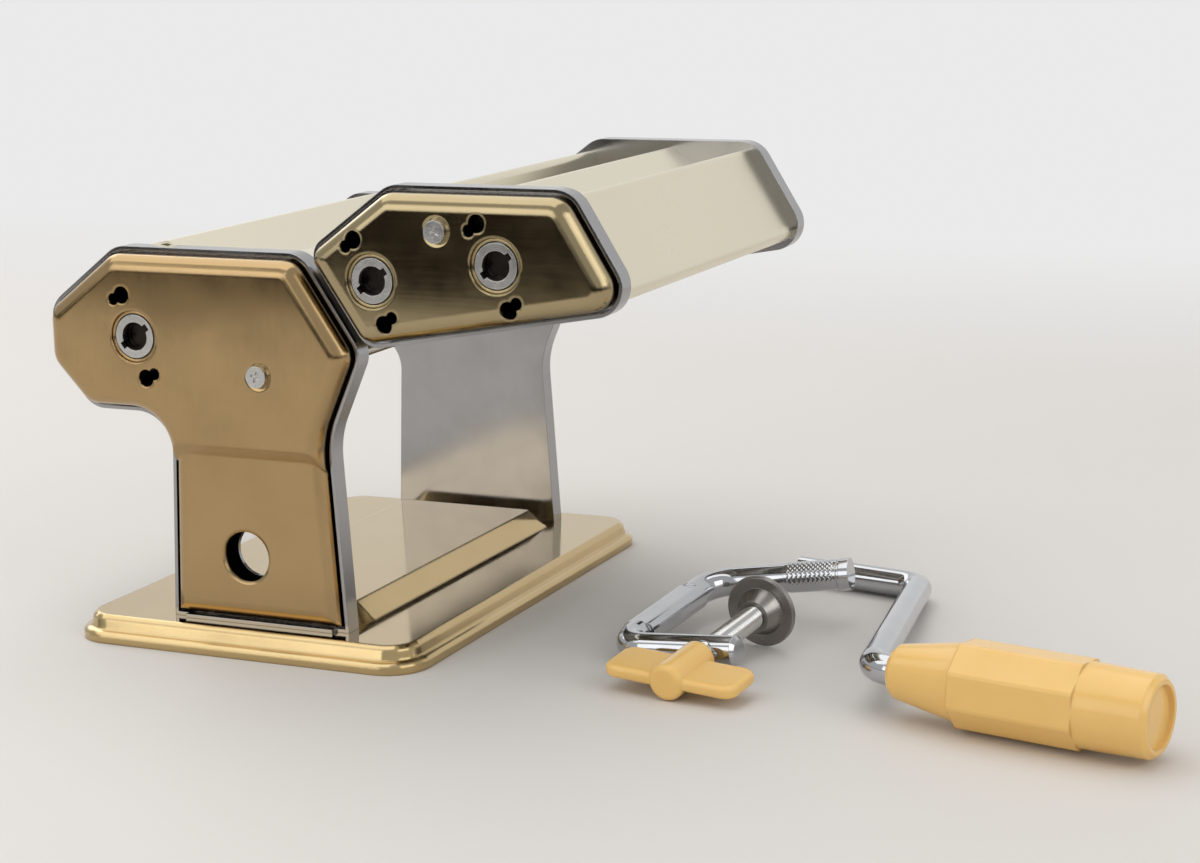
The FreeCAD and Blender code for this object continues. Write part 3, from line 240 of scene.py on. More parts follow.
    def shade_bore(self, tree: bpy.types.NodeTree, place: bpy.types.NodeSocket,
              tint: bpy.types.NodeSocket) -> bpy.types.NodeSocket:
        """Paints shade onto the metal down a bore, where the finish has it.

        Args:
            tree: node tree of the material.
            place: the piece's Object coordinates.
            tint: colour so far.

        Returns:
            The colour with the painted shade.
        """
        first, final = self.bore_shade_x_mm
        if first == final:
            return tint
        depth = add_node(tree, "ShaderNodeSeparateXYZ", None, {0: place}).outputs["X"]
        # painted shade, deepening along X down the bore
        bore_shade_mix = add_node(tree, "ShaderNodeMapRange", {"From Min": first * MM, "From Max": final * MM},
                       {"Value": depth})
        return add_node(tree, "ShaderNodeMix", {"data_type": "RGBA", MIX_B: linear(BORE_SHADE_DARK)},
                        {0: bore_shade_mix.outputs[0], MIX_A: tint}).outputs[MIX_OUT]


@dataclass(frozen=True)
class MouldedFinish:
    """A moulded plastic or rubber: its colour, the flow marks in it and the skin of the mould.

    The skin is drawn coarser than the real one, so that it shows in the render.
    """

    name: str
    colour: str
    shade: str
    smooth: float
    rough: float
    flow_mm: float
    skin_mm: float
    skin_depth_mm: float
    ior: float
    depth: float = 0.0
    depth_mm: float = 1.5
    edge_mm: float = 0.3

    def material(self) -> bpy.types.Material:
        """Builds the node material of this finish.

        Returns:
            The material, named for the finish.
        """
        material = bpy.data.materials.new(self.name)
        material.use_nodes = True
        tree = material.node_tree
        shader = tree.nodes["Principled BSDF"]
        shader.inputs["IOR"].default_value = self.ior
        shader.inputs["Subsurface Weight"].default_value = self.depth
        shader.inputs["Subsurface Scale"].default_value = self.depth_mm * MM
        place = add_node(tree, "ShaderNodeTexCoord").outputs["Object"]
        flow = add_node(tree, "ShaderNodeTexNoise",
                        {"Scale": per_mm(self.flow_mm), "Detail": 3.0, "Distortion": 0.6}, {"Vector": place})
        skin = add_node(tree, "ShaderNodeTexNoise", {"Scale": per_mm(self.skin_mm), "Detail": 2.0},
                        {"Vector": place})
        tint = add_node(tree, "ShaderNodeMix",
                        {"data_type": "RGBA", MIX_A: linear(self.colour), MIX_B: linear(self.shade)},
                        {0: flow.outputs[0]})
        gloss = add_node(tree, "ShaderNodeMapRange",
                         {"From Min": FLOW_FROM, "From Max": FLOW_TO, "To Min": self.smooth,
                          "To Max": self.rough}, {"Value": flow.outputs[0]})
        soft = add_node(tree, "ShaderNodeBevel", {"samples": EDGE_RAYS, "Radius": self.edge_mm * MM})
        pebble = add_node(tree, "ShaderNodeBump", {"Distance": self.skin_depth_mm * MM},
                          {"Height": skin.outputs[0], "Normal": soft.outputs[0]})
        tree.links.new(tint.outputs[MIX_OUT], shader.inputs["Base Color"])
        tree.links.new(gloss.outputs[0], shader.inputs["Roughness"])
        tree.links.new(pebble.outputs[0], shader.inputs["Normal"])
        return material


# Gold-lacquered steel pressings: brown-gold and hazy from the polish, with faint waves from the press.
COVER_GOLD = MetalFinish(
    "gold_lacquered_steel_cover", colour="B3986D", shade="A78C62", smooth=0.11, rough=0.21,
    haze_mm=24.0, grain=Grain.Z, grain_mm=0.7, grain_depth_mm=0.0014, wave_mm=45.0,
    wave_depth_mm=0.45, coat=0.2, edge_mm=1.2)
COVER_GOLD_CRANK = replace(COVER_GOLD, name="gold_lacquered_steel_crank_cover", dishes=(
    (-10.1, 93.5, 3.2, 5.2), (-0.8, 32.2, 8.4, 9.6)))
# The cutter's covers are the same lacquer over a cleaner polish, so they mirror the dark of the room.
CUTTER_GOLD = MetalFinish(
    "gold_lacquered_steel_cutter_cover", colour="AE9E7A", shade="A0906D", smooth=0.07, rough=0.15,
    haze_mm=30.0, grain=Grain.Y, grain_mm=0.8, grain_depth_mm=0.0010, wave_mm=60.0,
    wave_depth_mm=0.10, coat=0.3, edge_mm=1.2)
CUTTER_GOLD_CRANK = replace(CUTTER_GOLD, name="gold_lacquered_steel_cutter_crank_cover", dishes=(
    (-76.0, 142.6, 3.2, 5.2),))
# The base is the same lacquer over bright polished steel, so it mirrors what stands on it.
BASE_GOLD = MetalFinish(
    "gold_lacquered_steel_base", colour="C9B182", shade="BEA574", smooth=0.05, rough=0.13,
    haze_mm=34.0, grain=Grain.X, grain_mm=0.9, grain_depth_mm=0.0008, wave_mm=60.0,
    wave_depth_mm=0.10, coat=0.25, edge_mm=1.4)
# Hoods and guides are thin champagne sheet with a satin rolled surface that blurs reflections.
CHAMPAGNE_SHEET = MetalFinish(
    "champagne_satin_sheet", colour="E9E1CA", shade="E5DDC6", smooth=0.27, rough=0.30, haze_mm=60.0,
    grain=Grain.X, grain_mm=0.6, grain_depth_mm=0.0004, wave_mm=70.0, wave_depth_mm=0.10,
    edge_mm=0.1)
# The inner plates are chromed sheet with a soft upright polish.
CHROMED_PLATE = MetalFinish(
    "chromed_steel_plate", colour="A9A8A8", shade="9C9B9C", smooth=0.10, rough=0.20, haze_mm=26.0,
    grain=Grain.Z, grain_mm=0.6, grain_depth_mm=0.0012, wave_mm=50.0, wave_depth_mm=0.14)
# Bent rods are bright chrome plating over drawn bar, nearly a mirror.
CHROMED_ROD = MetalFinish(
    "chromed_bar", colour="C4C5C7", shade="B4B5B8", smooth=0.05, rough=0.12, haze_mm=12.0,
    grain=Grain.X, grain_mm=0.4, grain_depth_mm=0.0006)
# The pressure disc is zinc-plated steel, dull next to the chrome.
ZINC_DISC = MetalFinish(
    "zinc_plated_disc", colour="9C9793", shade="8B8682", smooth=0.24, rough=0.36, haze_mm=8.0,
    grain=Grain.X, grain_mm=0.3, grain_depth_mm=0.0016)
# Turned steel shows fine tool lines round its axis and a soft grey gloss.
TURNED_STEEL = MetalFinish(
    "turned_bright_steel", colour="D6D5D2", shade="C4C3C0", smooth=0.18, rough=0.32, haze_mm=9.0,
    grain=Grain.X, grain_mm=0.25, grain_depth_mm=0.0012)
# The clamp's rolled thread has its crests in the mesh, so its finish rounds edges by next to nothing.
THREAD_STEEL = replace(TURNED_STEEL, name="rolled_thread_steel", smooth=0.14, rough=0.24, edge_mm=0.02)
# The crank sockets are bright at the rim, with painted shade darkening them down in the bore.
SOCKET_STEEL = replace(TURNED_STEEL, name="turned_steel_painted_bore_shade", bore_shade_x_mm=(-89.5, -86.8))
# Hardened gear steel is darker, with a film of oil.
GEAR_STEEL = MetalFinish(
    "oiled_gear_steel", colour="8F8D89", shade="7B7974", smooth=0.24, rough=0.38, haze_mm=7.0,
    grain=Grain.X, grain_mm=0.3, grain_depth_mm=0.0020)
# Amber polypropylene, moulded: softly glossy, with light passing a little way in.
AMBER_PLASTIC = MouldedFinish(
    "amber_moulded_polypropylene", colour="F0C678", shade="EABD6C", smooth=0.14, rough=0.22,
    flow_mm=16.0, skin_mm=0.9, skin_depth_mm=0.003, ior=1.49, depth=0.15, edge_mm=0.9)
# Black ABS has the fine skin of its mould, so its highlights are soft.
BLACK_PLASTIC = MouldedFinish(
    "black_moulded_abs", colour="1D1D1E", shade="242425", smooth=0.32, rough=0.44, flow_mm=12.0,
    skin_mm=0.6, skin_depth_mm=0.006, ior=1.53)
# Acetal, moulded: off-white, waxy and half matt.
WHITE_BEARING = MouldedFinish(
    "white_acetal_bearing", colour="DEDBD2", shade="D4D1C8", smooth=0.36, rough=0.46, flow_mm=10.0,
    skin_mm=0.7, skin_depth_mm=0.004, ior=1.48)
# Moulded rubber is matt and nearly black.
FOOT_RUBBER = MouldedFinish(
    "black_foot_rubber", colour="191919", shade="202020", smooth=0.66, rough=0.8, flow_mm=9.0,
    skin_mm=0.5, skin_depth_mm=0.02, ior=1.52)
# Printed ink lies matt on the dial's black.
WHITE_INK = MouldedFinish(
    "white_dial_ink", colour="E9E8E4", shade="DFDED9", smooth=0.45, rough=0.55, flow_mm=4.0,
    skin_mm=0.3, skin_depth_mm=0.002, ior=1.5)


class Paints:
    """Keeps one material for each finish, so that pieces with the same finish share it."""

    def __init__(self) -> None:
        """Starts with no material made."""
        self._made: dict[str, bpy.types.Material] = {}

    def dress(self, piece: bpy.types.Object, finish: "MetalFinish | MouldedFinish") -> None:
        """Gives a piece the material of a finish.

        Args:
            piece: mesh object to dress.
            finish: finish that it gets.
        """
        if finish.name not in self._made:
            self._made[finish.name] = finish.material()
        if not piece.material_slots:
            piece.data.materials.append(None)
        for slot in piece.material_slots:
            slot.link = "OBJECT"
            slot.material = self._made[finish.name]


def grid_mesh(name: str, points: np.ndarray, wrap: bool, ring: bool = False) -> bpy.types.Object:
    """Makes a mesh object from a grid of points.

    Args:
        name: name of the object.
        points: array of rows by columns by 3, in metres; rows follow each other along the surface.
        wrap: whether the last column joins the first.
        ring: whether the last row joins the first.

    Returns:
        The new object, smooth shaded, at the origin.
    """
    rows, columns = points.shape[:2]
    row, column = np.meshgrid(np.arange(rows if ring else rows - 1),
                              np.arange(columns if wrap else columns - 1), indexing="ij")
    right, below = (column + 1) % columns, (row + 1) % rows
    faces = np.stack([row * columns + column, row * columns + right, below * columns + right,
                      below * columns + column], axis=-1).reshape(-1, 4)
    mesh = bpy.data.meshes.new(name)
    mesh.from_pydata(points.reshape(-1, 3).tolist(), [], faces.tolist())
    mesh.polygons.foreach_set("use_smooth", np.ones(len(faces), dtype=bool))
    mesh.update()
    piece = bpy.data.objects.new(name, mesh)
    bpy.context.scene.collection.objects.link(piece)
    return piece


def turned_surface(name: str, start: np.ndarray, axis: np.ndarray, stations: np.ndarray,
                   radius: Callable[[np.ndarray, np.ndarray], np.ndarray], columns: int,
                   ring: bool = False) -> bpy.types.Object:
    """Makes a round surface whose radius depends on the place along the axis and the turn round it.

    A point is start + s * axis + r(s, t) * (cos t * side - sin t * up).

    Args:
        name: name of the object.
        start: point on the axis where stations count from, in metres.
        axis: unit direction of the axis.
        stations: distances s along the axis, in metres.
        radius: gives r for grids of s and t.
        columns: steps round the axis.
        ring: whether the last station joins the first, as on a bead.

    Returns:
        The new object.
    """
    side = np.cross(axis, np.array([0.0, 0.0, 1.0]))
    side /= np.linalg.norm(side)
    up = np.cross(side, axis)
    turn = np.linspace(0.0, FULL_TURN, columns, endpoint=False)
    s, t = np.meshgrid(stations, turn, indexing="ij")
    r = radius(s, t)
    points = (start + s[..., None] * axis + (r * np.cos(t))[..., None] * side
              - (r * np.sin(t))[..., None] * up)
    return grid_mesh(name, points, True, ring)


@dataclass(frozen=True)
class RolledRim:
    """Bead that a cover's sheet is rolled into round a crank socket, just clear of the socket."""

    inner_mm: float = 7.42
    outer_mm: float = 8.85
    deep_mm: float = 1.5
    sunk_mm: float = 0.5
    section_steps: int = 24
    round_steps: int = 72

    def make(self, name: str, cover: str, socket: str, body: str, paints: Paints,
             finish: MetalFinish) -> None:
        """Makes one bead and rides it on its cover's body.

        The section is an ellipse: s = d * sin u and r = m + w * cos u for u round a full turn.

        Args:
            name: name of the piece.
            cover: solid whose outer face the bead lies in.
            socket: solid that stands in the middle of the bead.
            body: body that the bead rides on.
            paints: source of the materials.
            finish: the cover's finish.
        """
        low, high = (np.array(corner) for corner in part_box(socket))
        middle = (low + high) / 2.0
        half = self.deep_mm / 2.0 * MM
        middle[0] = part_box(cover)[0][0] + half + self.sunk_mm * MM
        u = np.linspace(0.0, FULL_TURN, self.section_steps, endpoint=False)
        centre = (self.outer_mm + self.inner_mm) / 2.0 * MM
        width = (self.outer_mm - self.inner_mm) / 2.0 * MM

        def radius(s: np.ndarray, t: np.ndarray) -> np.ndarray:
            """Radius of the bead's section, the same all round."""
            return np.broadcast_to((centre + width * np.cos(u))[:, None], s.shape)
        bead = turned_surface(name, middle, np.array([1.0, 0.0, 0.0]), half * np.sin(u), radius,
                              self.round_steps, True)
        paints.dress(bead, finish)
        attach(bead, body)


@dataclass
class SubAssembly:
    """A group of solids with the finish that each of them gets."""

    label: str

    def finishes(self) -> Mapping["MetalFinish | MouldedFinish", Sequence[str]]:
        """Names the solids of each finish."""
        raise NotImplementedError

    def build(self, paints: Paints) -> None:
        """Dresses the group's solids.

        Args:
            paints: source of the materials.
        """
        for finish, nodes in self.finishes().items():
            for node in nodes:
                paints.dress(frame["nodes"][node], finish)
                LOG.info("%s: %s in %s", self.label, node, finish.name)


@dataclass
class Stand(SubAssembly):
    """Base tray, legs, covers and the hoods of the sheet hopper."""

    label: str = "stand"

    def finishes(self) -> Mapping["MetalFinish | MouldedFinish", Sequence[str]]:
        """Names the solids of each finish.

        Returns:
            The solids' names by finish.
        """
        return {
            BASE_GOLD: ("base_plate",),
            FOOT_RUBBER: ("base_feet",),
            CHROMED_PLATE: ("crank_side_plate", "dial_side_plate"),
            COVER_GOLD_CRANK: ("crank_side_cover",),
            COVER_GOLD: ("dial_side_cover",),
            CHAMPAGNE_SHEET: ("rear_hood", "front_hood"),
            TURNED_STEEL: ("cover_screws", "leg_bolts", "tie_rods", "tie_nuts", "cutter_rails"),
            WHITE_BEARING: ("roller_scrapers", "fixed_roller_bushes", "drive_bush", "dial_bush"),
        }

    def build(self, paints: Paints) -> None:
        """Dresses the stand and rolls the rim round the crank socket.

        Args:
            paints: source of the materials.
        """
        super().build(paints)
        RolledRim().make("drive_socket_rim", "crank_side_cover", "drive_socket", "stand", paints,
                         COVER_GOLD)
        LOG.info("%s: socket rim made", self.label)


@dataclass
class RollerTrain(SubAssembly):
    """Smooth rollers, their gears and blocks, and the crank socket."""

    label: str = "roller train"

    def finishes(self) -> Mapping["MetalFinish | MouldedFinish", Sequence[str]]:
        """Names the solids of each finish.

        Returns:
            The solids' names by finish.
        """
        return {
            TURNED_STEEL: ("fixed_roller", "moving_roller"),
            SOCKET_STEEL: ("drive_socket",),
            GEAR_STEEL: ("fixed_roller_gear", "moving_roller_gear", "drive_gear"),
            WHITE_BEARING: ("moving_roller_blocks",),
        }


@dataclass
class ThicknessDial(SubAssembly):
    """Dial on the far side, with the settings printed round its skirt."""

    label: str = "thickness dial"
    settings: int = 7
    places: int = 9
    digit_mm: float = 3.51
    digit_deep_mm: float = 0.03
    in_from_rim_mm: float = 1.75
    skirt_top_mm: float = 4.0
    lift_mm: float = 0.05

    def finishes(self) -> Mapping["MetalFinish | MouldedFinish", Sequence[str]]:
        """Names the solids of each finish.

        Returns:
            The solids' names by finish.
        """
        return {
            BLACK_PLASTIC: ("dial_knob",),
            TURNED_STEEL: ("dial_shaft", "dial_pin"),
            GEAR_STEEL: ("dial_spring",),
        }

    def build(self, paints: Paints) -> None:
        """Dresses the dial and prints its settings on the skirt.

        Args:
            paints: source of the materials.
        """
        super().build(paints)
        low, high = (np.array(corner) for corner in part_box("dial_knob"))
        middle = (low + high) / 2.0
        skirt = (high[1] - low[1]) / 2.0
        ring = skirt - self.in_from_rim_mm * MM
        face = low[0] + (self.skirt_top_mm + self.lift_mm) * MM
        for number in range(self.settings):
            turn = FULL_TURN * number / self.places + FULL_TURN / 4.0
            piece = self.digit(str(number + 1))
            at = Vector((face, middle[1] + ring * math.cos(turn), middle[2] + ring * math.sin(turn)))
            # the digit's own X runs along the rim, its Y outwards and its Z along the shaft
            along = Vector((0.0, math.sin(turn), -math.cos(turn)))
            outward = Vector((0.0, math.cos(turn), math.sin(turn)))
            basis = Matrix((along, outward, Vector((1.0, 0.0, 0.0)))).transposed().to_4x4()
            piece.data.transform(Matrix.Translation(at) @ basis)
            paints.dress(piece, WHITE_INK)
            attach(piece, "dial_knob_body")
        LOG.info("%s: %d settings printed", self.label, self.settings)

    def digit(self, text: str) -> bpy.types.Object:
        """Makes one digit as a thin mesh in its own XY plane.

        Args:
            text: the digit.

        Returns:
            The mesh object, centred on the origin.
        """
        curve = bpy.data.curves.new("dial_digit_" + text, "FONT")
        curve.body = text
        curve.size = self.digit_mm * MM
        curve.align_x = "CENTER"
        curve.align_y = "CENTER"
        curve.extrude = self.digit_deep_mm * MM
        curve.resolution_u = 4
        holder = bpy.data.objects.new("dial_digit_curve", curve)
        bpy.context.scene.collection.objects.link(holder)
        bpy.context.view_layer.update()
        mesh = bpy.data.meshes.new_from_object(holder)
        bpy.data.objects.remove(holder)
        piece = bpy.data.objects.new("dial_digit_" + text, mesh)
        bpy.context.scene.collection.objects.link(piece)
        return piece


@dataclass
class Cutter(SubAssembly):
    """Lift-off double cutter with its shells, guides and two pairs of ribbon cutters."""

    label: str = "cutter"

    def finishes(self) -> Mapping["MetalFinish | MouldedFinish", Sequence[str]]:
        """Names the solids of each finish.

        Returns:
            The solids' names by finish.
        """
        return {
            CUTTER_GOLD_CRANK: ("cutter_crank_cover",),
            CUTTER_GOLD: ("cutter_dial_cover",),
            CHROMED_PLATE: ("cutter_crank_plate", "cutter_dial_plate"),
            CHAMPAGNE_SHEET: ("cutter_front_guide", "cutter_middle_guide", "cutter_rear_guide"),
            TURNED_STEEL: ("cutter_screws", "cutter_tie_rods", "cutter_channels", "fine_cutter_driven",
                           "fine_cutter_mate", "wide_cutter_driven", "wide_cutter_mate"),
            SOCKET_STEEL: ("fine_cutter_socket", "wide_cutter_socket"),
            GEAR_STEEL: ("fine_driven_gear", "fine_mate_gear", "wide_driven_gear", "wide_mate_gear"),
            WHITE_BEARING: ("cutter_bushes",),
        }

    def build(self, paints: Paints) -> None:
        """Dresses the cutter and rolls the rims round its two crank sockets.

        Args:
            paints: source of the materials.
        """
        super().build(paints)
        for socket in ("fine_cutter_socket", "wide_cutter_socket"):
            RolledRim().make(socket + "_rim", "cutter_crank_cover", socket, "cutter_body", paints,
                             CUTTER_GOLD)
        LOG.info("%s: socket rims made", self.label)


@dataclass
class Crank(SubAssembly):
    """Loose crank: chromed bent rod, cross pin and amber grip."""

    label: str = "crank"

    def finishes(self) -> Mapping["MetalFinish | MouldedFinish", Sequence[str]]:
        """Names the solids of each finish.

        Returns:
            The solids' names by finish.
        """
        return {
            CHROMED_ROD: ("crank_rod",),
            TURNED_STEEL: ("crank_cross_pin",),
            AMBER_PLASTIC: ("crank_grip",),
        }


@dataclass
class Clamp(SubAssembly):
    """Loose table clamp: chromed bar, pressure disc, threaded screw and amber wing knob."""

    label: str = "clamp"
    screw_from_mm: float = -22.0
    screw_to_mm: float = 34.0
    crest_mm: float = 3.92
    thread_mm: float = 0.55
    flank_slope: float = 1.25
    crest_flat: float = 0.12
    pitch_mm: float = 1.5
    rows_per_pitch: int = 10
    thread_columns: int = 48
    run_out_mm: float = 0.8
    point_mm: float = 0.5
    tilt_deg: tuple[float, float, float] = (-6.2, -5.8, -7.1)
    corner_mm: tuple[float, float, float] = (-56.0, -120.8, 5.3)
    back_mm: float = 62.5
    splay_deg: float = 13.1
    sleeve_mm: tuple[float, float] = (27.4, 44.2)
    sleeve_radius_mm: float = 5.16
    sleeve_sunk_mm: float = 0.04
    knurl_mm: float = 0.16
    knurl_lead_mm: float = 1.6
    knurl_lines: int = 9
    sleeve_rows: int = 90
    sleeve_columns: int = 120

    def finishes(self) -> Mapping["MetalFinish | MouldedFinish", Sequence[str]]:
        """Names the solids of each finish.

        Returns:
            The solids' names by finish.
        """
        return {
            CHROMED_ROD: ("clamp_bar",),
            ZINC_DISC: ("pressure_disc",),
            AMBER_PLASTIC: ("wing_knob",),
            TURNED_STEEL: ("clamp_screw",),
        }

    def build(self, paints: Paints) -> None:
        """Dresses the clamp, cuts the screw's thread and knurls the upper arm's sleeve.

        Args:
            paints: source of the materials.
        """
        super().build(paints)
        thread = self.thread()
        paints.dress(thread, THREAD_STEEL)
        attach(thread, "clamp_screw_body")
        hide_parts("clamp_screw")
        sleeve = self.sleeve()
        paints.dress(sleeve, CHROMED_ROD)
        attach(sleeve, "clamp_body")
        LOG.info("%s: thread and knurl made", self.label)

    def thread(self) -> bpy.types.Object:
        """Makes the screw with its thread.

        The radius is the crest less the depth times a triangle wave of s / pitch - t / (2 pi), cut
        flat at crest and root, so the ridge winds once round for each pitch. The first and last
        rows run in to the axis.

        Returns:
            The screw's object.
        """
        joint = next(j for j in frame["joints"] if j["name"] == "clamp_screw_turn")
        axis = np.array(joint["axis"]) / np.linalg.norm(joint["axis"])
        start, end = self.screw_from_mm * MM, self.screw_to_mm * MM
        rows = int((end - start) / (self.pitch_mm * MM) * self.rows_per_pitch)
        stations = np.concatenate([[start], np.linspace(start, end, rows), [end]])
        last = len(stations) - 1

        def radius(s: np.ndarray, t: np.ndarray) -> np.ndarray:
            """Works out the radius of the ridge.

            Args:
                s: places along the axis, in metres.
                t: turns round the axis, in radians.

            Returns:
                Radius at each place and turn, in metres.
            """
            phase = s / (self.pitch_mm * MM) - t / FULL_TURN
            wave = np.abs(2.0 * (phase - np.floor(phase)) - 1.0)
            cut = np.clip(self.flank_slope * wave - self.crest_flat, 0.0, 1.0)
            r = (self.crest_mm - self.thread_mm * cut) * MM
            taper = np.clip(np.minimum(s - start, end - s) / (self.run_out_mm * MM), 0.0, 1.0)
            r = r - self.point_mm * MM * (1.0 - taper)
            r[0] = r[last] = POLE_RADIUS
            return r
        return turned_surface("clamp_screw_thread", np.array(joint["pos_m"]), axis, stations, radius,
                              self.thread_columns)

    def sleeve(self) -> bpy.types.Object:
        """Makes the knurled skin of the sleeve on the upper arm.

        Two families of lines wind round the arm in opposite senses, and the skin stands highest
        where neither runs, so diamonds are left between them.

        Returns:
            The skin's object.
        """
        roll, pitch, yaw = (math.radians(a) for a in self.tilt_deg)
        turn = np.array(Matrix.Rotation(yaw, 3, "Z") @ Matrix.Rotation(pitch, 3, "Y")
                        @ Matrix.Rotation(roll, 3, "X"))
        splay = math.radians(self.splay_deg)
        arm = turn @ np.array([math.sin(splay), -math.cos(splay), 0.0])
        root = np.array(self.corner_mm) * MM + turn @ np.array([self.back_mm * MM, 0.0, 0.0])
        first, final = (v * MM for v in self.sleeve_mm)
        stations = np.linspace(first, final, self.sleeve_rows)

        def radius(s: np.ndarray, t: np.ndarray) -> np.ndarray:
            """Works out the radius of the knurl.

            Args:
                s: places along the arm, in metres.
                t: turns round the arm, in radians.

            Returns:
                Radius at each place and turn, in metres.
            """
            lead = (s - first) / (self.knurl_lead_mm * MM) * FULL_TURN
            round_arm = self.knurl_lines * t
            lines = np.abs(np.sin(round_arm + lead / 2.0) * np.sin(round_arm - lead / 2.0))
            fade = np.clip(np.minimum(s - first, final - s) / (self.run_out_mm * MM), 0.0, 1.0)
            return (self.sleeve_radius_mm - self.sleeve_sunk_mm + self.knurl_mm * lines * fade) * MM
        return turned_surface("clamp_sleeve_knurl", root, arm, stations, radius, self.sleeve_columns)


@dataclass(frozen=True)
class SoftBox:
    """One area lamp: where it hangs, what it faces, its width, height and power."""

    name: str
    at_m: tuple[float, float, float]
    aim_m: tuple[float, float, float]
    width_m: float
    height_m: float
    watts: float

    def hang(self) -> None:
        """Adds the lamp to the scene."""
        data = bpy.data.lights.new(self.name, "AREA")
        data.shape = "RECTANGLE"
        data.size = self.width_m
        data.size_y = self.height_m
        data.energy = self.watts
        lamp = bpy.data.objects.new(self.name, data)
        lamp.location = self.at_m
        lamp.rotation_euler = (Vector(self.aim_m) - Vector(self.at_m)).to_track_quat("-Z", "Y").to_euler()
        bpy.context.scene.collection.objects.link(lamp)


# above, at the right front, behind, and one like a window beside the camera
SOFT_BOXES = (
    SoftBox(
        "lamp_above", at_m=(0.10, 0.45, 1.50), aim_m=(0.0, -0.02, 0.0), width_m=2.4, height_m=2.0,
        watts=17.0),
    SoftBox(
        "lamp_right", at_m=(-0.55, -1.75, 0.95), aim_m=(0.0, -0.1, 0.08), width_m=1.3, height_m=1.1,
        watts=8.0),
    SoftBox(
        "lamp_behind", at_m=(0.75, 1.35, 0.95), aim_m=(0.0, 0.0, 0.1), width_m=1.0, height_m=0.8,
        watts=4.0),
    SoftBox(
        "lamp_window", at_m=(-2.15, 0.95, 0.85), aim_m=(0.0, 0.0, 0.05), width_m=1.8, height_m=1.2,
        watts=8.5),
)


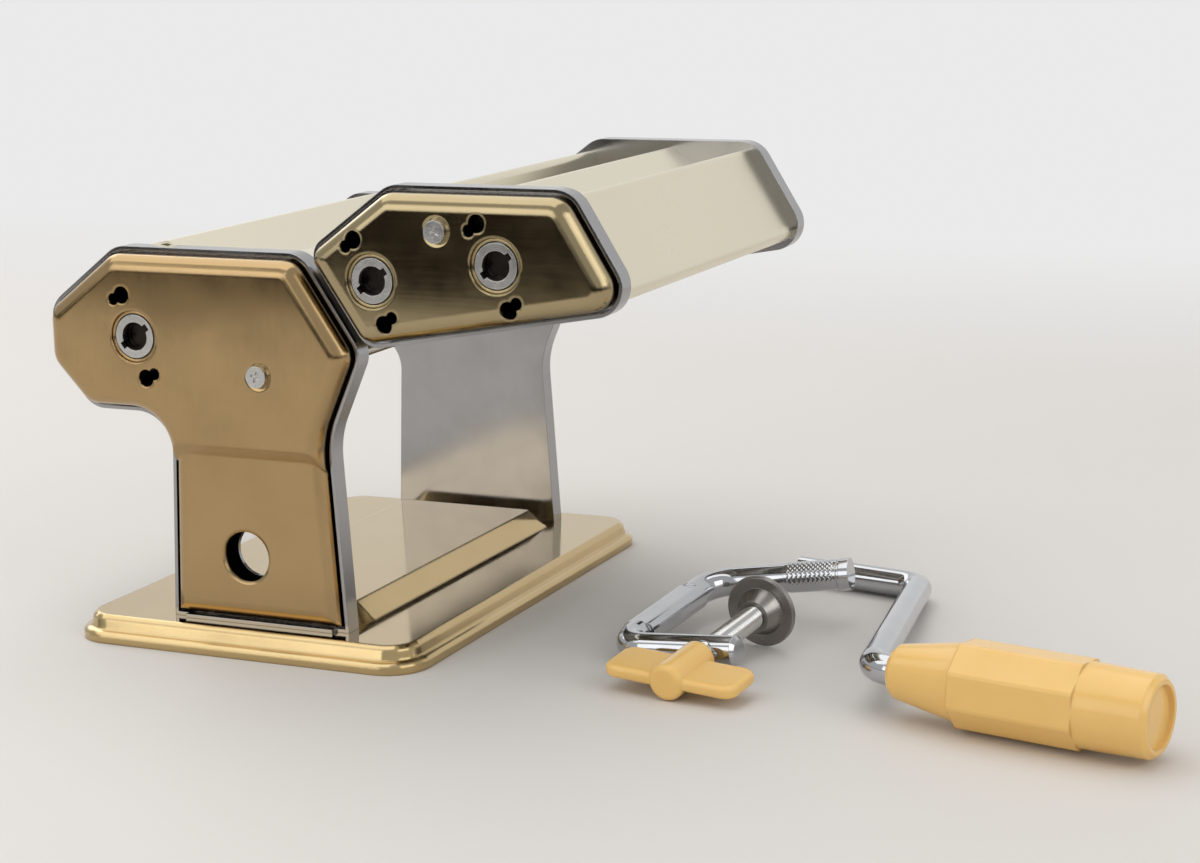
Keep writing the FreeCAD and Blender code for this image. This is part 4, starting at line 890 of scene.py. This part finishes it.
@dataclass
class Studio:
    """Pale floor with a coved wall, soft lamps and the camera."""

    floor_colour: str = "D8D4CF"
    wall_colour: str = "EAEAEA"
    wall_fade_m: tuple[float, float] = (0.35, 1.0)
    room_low: str = "2E2823"
    room_high: str = "DCDDDE"
    horizon: tuple[float, float] = (-0.05, 0.09)
    room_strength: float = 0.8
    sheet_drop_mm: float = 0.1
    floor_from_m: float = -0.75
    wall_at_m: float = 2.3
    cove_m: float = 0.7
    wall_top_m: float = 2.6
    half_width_m: float = 3.5
    run_steps: int = 24
    cove_steps: int = 16
    rise_steps: int = 8
    across_steps: int = 24
    camera_mm: tuple[float, float, float] = (-765.1, -426.8, 237.5)
    forward: tuple[float, float, float] = (0.8960, 0.3943, -0.2043)
    roll_deg: float = -1.022
    focal_px: float = 2487.8
    frame_px: int = 1200
    sensor_mm: float = 36.0
    near_clip_m: float = 0.01

    def build(self) -> None:
        """Sets the stage, the light and the camera."""
        self.floor()
        for box in SOFT_BOXES:
            box.hang()
        self.world()
        self.camera()

    def floor(self) -> None:
        """Makes the floor and wall as one sheet: a straight run, a quarter circle and a straight rise."""
        run = np.linspace(self.floor_from_m, self.wall_at_m - self.cove_m, self.run_steps)
        bend = np.linspace(0.0, math.pi / 2.0, self.cove_steps)[1:]
        rise = np.linspace(self.cove_m, self.wall_top_m, self.rise_steps)[1:]
        x = np.concatenate([run, run[-1] + self.cove_m * np.sin(bend), np.full(rise.shape, self.wall_at_m)])
        z = np.concatenate([np.zeros(run.shape), self.cove_m * (1.0 - np.cos(bend)), rise])
        y = np.linspace(self.half_width_m, -self.half_width_m, self.across_steps)
        points = np.stack([np.broadcast_to(x[:, None], (len(x), len(y))),
                           np.broadcast_to(y[None, :], (len(x), len(y))),
                           np.broadcast_to(z[:, None], (len(x), len(y)))], axis=-1)
        sheet = grid_mesh("studio_floor", points - np.array([0.0, 0.0, self.sheet_drop_mm * MM]), False)
        sheet.data.materials.append(self.card())

    def card(self) -> bpy.types.Material:
        """Makes the stage's card: a pale matt floor that fades into a wall of one even tone.

        Returns:
            The stage's material.
        """
        material = MouldedFinish(
            "pale_floor_card", colour=self.floor_colour, shade=self.floor_colour, smooth=0.55,
            rough=0.65, flow_mm=180.0, skin_mm=2.5, skin_depth_mm=0.01, ior=1.45).material()
        tree = material.node_tree
        rays = add_node(tree, "ShaderNodeLightPath").outputs
        seen = add_node(tree, "ShaderNodeMath", {"operation": "MAXIMUM"},
                        {0: rays["Is Camera Ray"], 1: rays["Is Glossy Ray"]})
        seen = add_node(tree, "ShaderNodeMath", {"operation": "MAXIMUM"},
                        {0: seen.outputs[0], 1: rays["Is Transmission Ray"]})
        place = add_node(tree, "ShaderNodeTexCoord").outputs["Object"]
        where = add_node(tree, "ShaderNodeSeparateXYZ", None, {0: place}).outputs
        near, far = self.wall_fade_m
        wall = add_node(tree, "ShaderNodeMapRange",
                        {"interpolation_type": "SMOOTHSTEP", "From Min": near, "From Max": far},
                        {"Value": where["X"]})
        share = add_node(tree, "ShaderNodeMath", {"operation": "MULTIPLY"},
                         {0: seen.outputs[0], 1: wall.outputs[0]})
        glow = add_node(tree, "ShaderNodeEmission", {"Color": linear(self.wall_colour), "Strength": 1.0})
        floor = tree.nodes["Principled BSDF"]
        mixed = add_node(tree, "ShaderNodeMixShader", None,
                         {0: share.outputs[0], 1: floor.outputs[0], 2: glow.outputs[0]})
        tree.links.new(mixed.outputs[0], tree.nodes["Material Output"].inputs["Surface"])
        return material

    def world(self) -> None:
        """Lights the room: pale above the horizon, and dim and warm below it, past the floor's edge."""
        world = bpy.data.worlds.new("studio_room")
        bpy.context.scene.world = world
        world.use_nodes = True
        tree = world.node_tree
        sky = tree.nodes["Background"]
        way = add_node(tree, "ShaderNodeTexCoord").outputs["Generated"]
        height = add_node(tree, "ShaderNodeSeparateXYZ", None, {0: way}).outputs["Z"]
        low, high = self.horizon
        share = add_node(tree, "ShaderNodeMapRange",
                         {"interpolation_type": "SMOOTHSTEP", "From Min": low, "From Max": high},
                         {"Value": height})
        tone = add_node(tree, "ShaderNodeMix",
                        {"data_type": "RGBA", MIX_A: linear(self.room_low), MIX_B: linear(self.room_high)},
                        {0: share.outputs[0]})
        # past the edges of the stage the eye sees the wall's tone
        eye = add_node(tree, "ShaderNodeLightPath").outputs["Is Camera Ray"]
        seen = add_node(tree, "ShaderNodeMix", {"data_type": "RGBA", MIX_B: linear(self.wall_colour)},
                        {0: eye, MIX_A: tone.outputs[MIX_OUT]})
        level = add_node(tree, "ShaderNodeMapRange", {"To Min": self.room_strength, "To Max": 1.0},
                         {"Value": eye})
        tree.links.new(seen.outputs[MIX_OUT], sky.inputs["Color"])
        tree.links.new(level.outputs[0], sky.inputs["Strength"])

    def camera(self) -> None:
        """Places the camera from its position, view direction, roll and focal length in pixels."""
        data = bpy.data.cameras.new("photo_camera")
        data.sensor_width = self.sensor_mm
        data.sensor_fit = "HORIZONTAL"
        data.lens = self.focal_px / self.frame_px * self.sensor_mm
        data.clip_start = self.near_clip_m
        ahead = Vector(self.forward).normalized()
        level = ahead.cross(Vector((0.0, 0.0, 1.0))).normalized()
        above = level.cross(ahead)
        lean = math.radians(self.roll_deg)
        right = math.cos(lean) * level + math.sin(lean) * above
        up = -math.sin(lean) * level + math.cos(lean) * above
        turn = Matrix((right, up, -ahead)).transposed().to_4x4()
        lens = bpy.data.objects.new("photo_camera", data)
        lens.matrix_world = Matrix.Translation(Vector(self.camera_mm) * MM) @ turn
        bpy.context.scene.collection.objects.link(lens)
        bpy.context.scene.camera = lens


def main() -> None:
    """Dresses every sub-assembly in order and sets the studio."""
    logging.basicConfig(level=logging.INFO)
    bpy.context.scene.view_settings.view_transform = "Standard"
    paints = Paints()
    for group in (Stand(), RollerTrain(), ThicknessDial(), Cutter(), Crank(), Clamp()):
        group.build(paints)
    Studio().build()


if __name__ == "__main__":
    main()
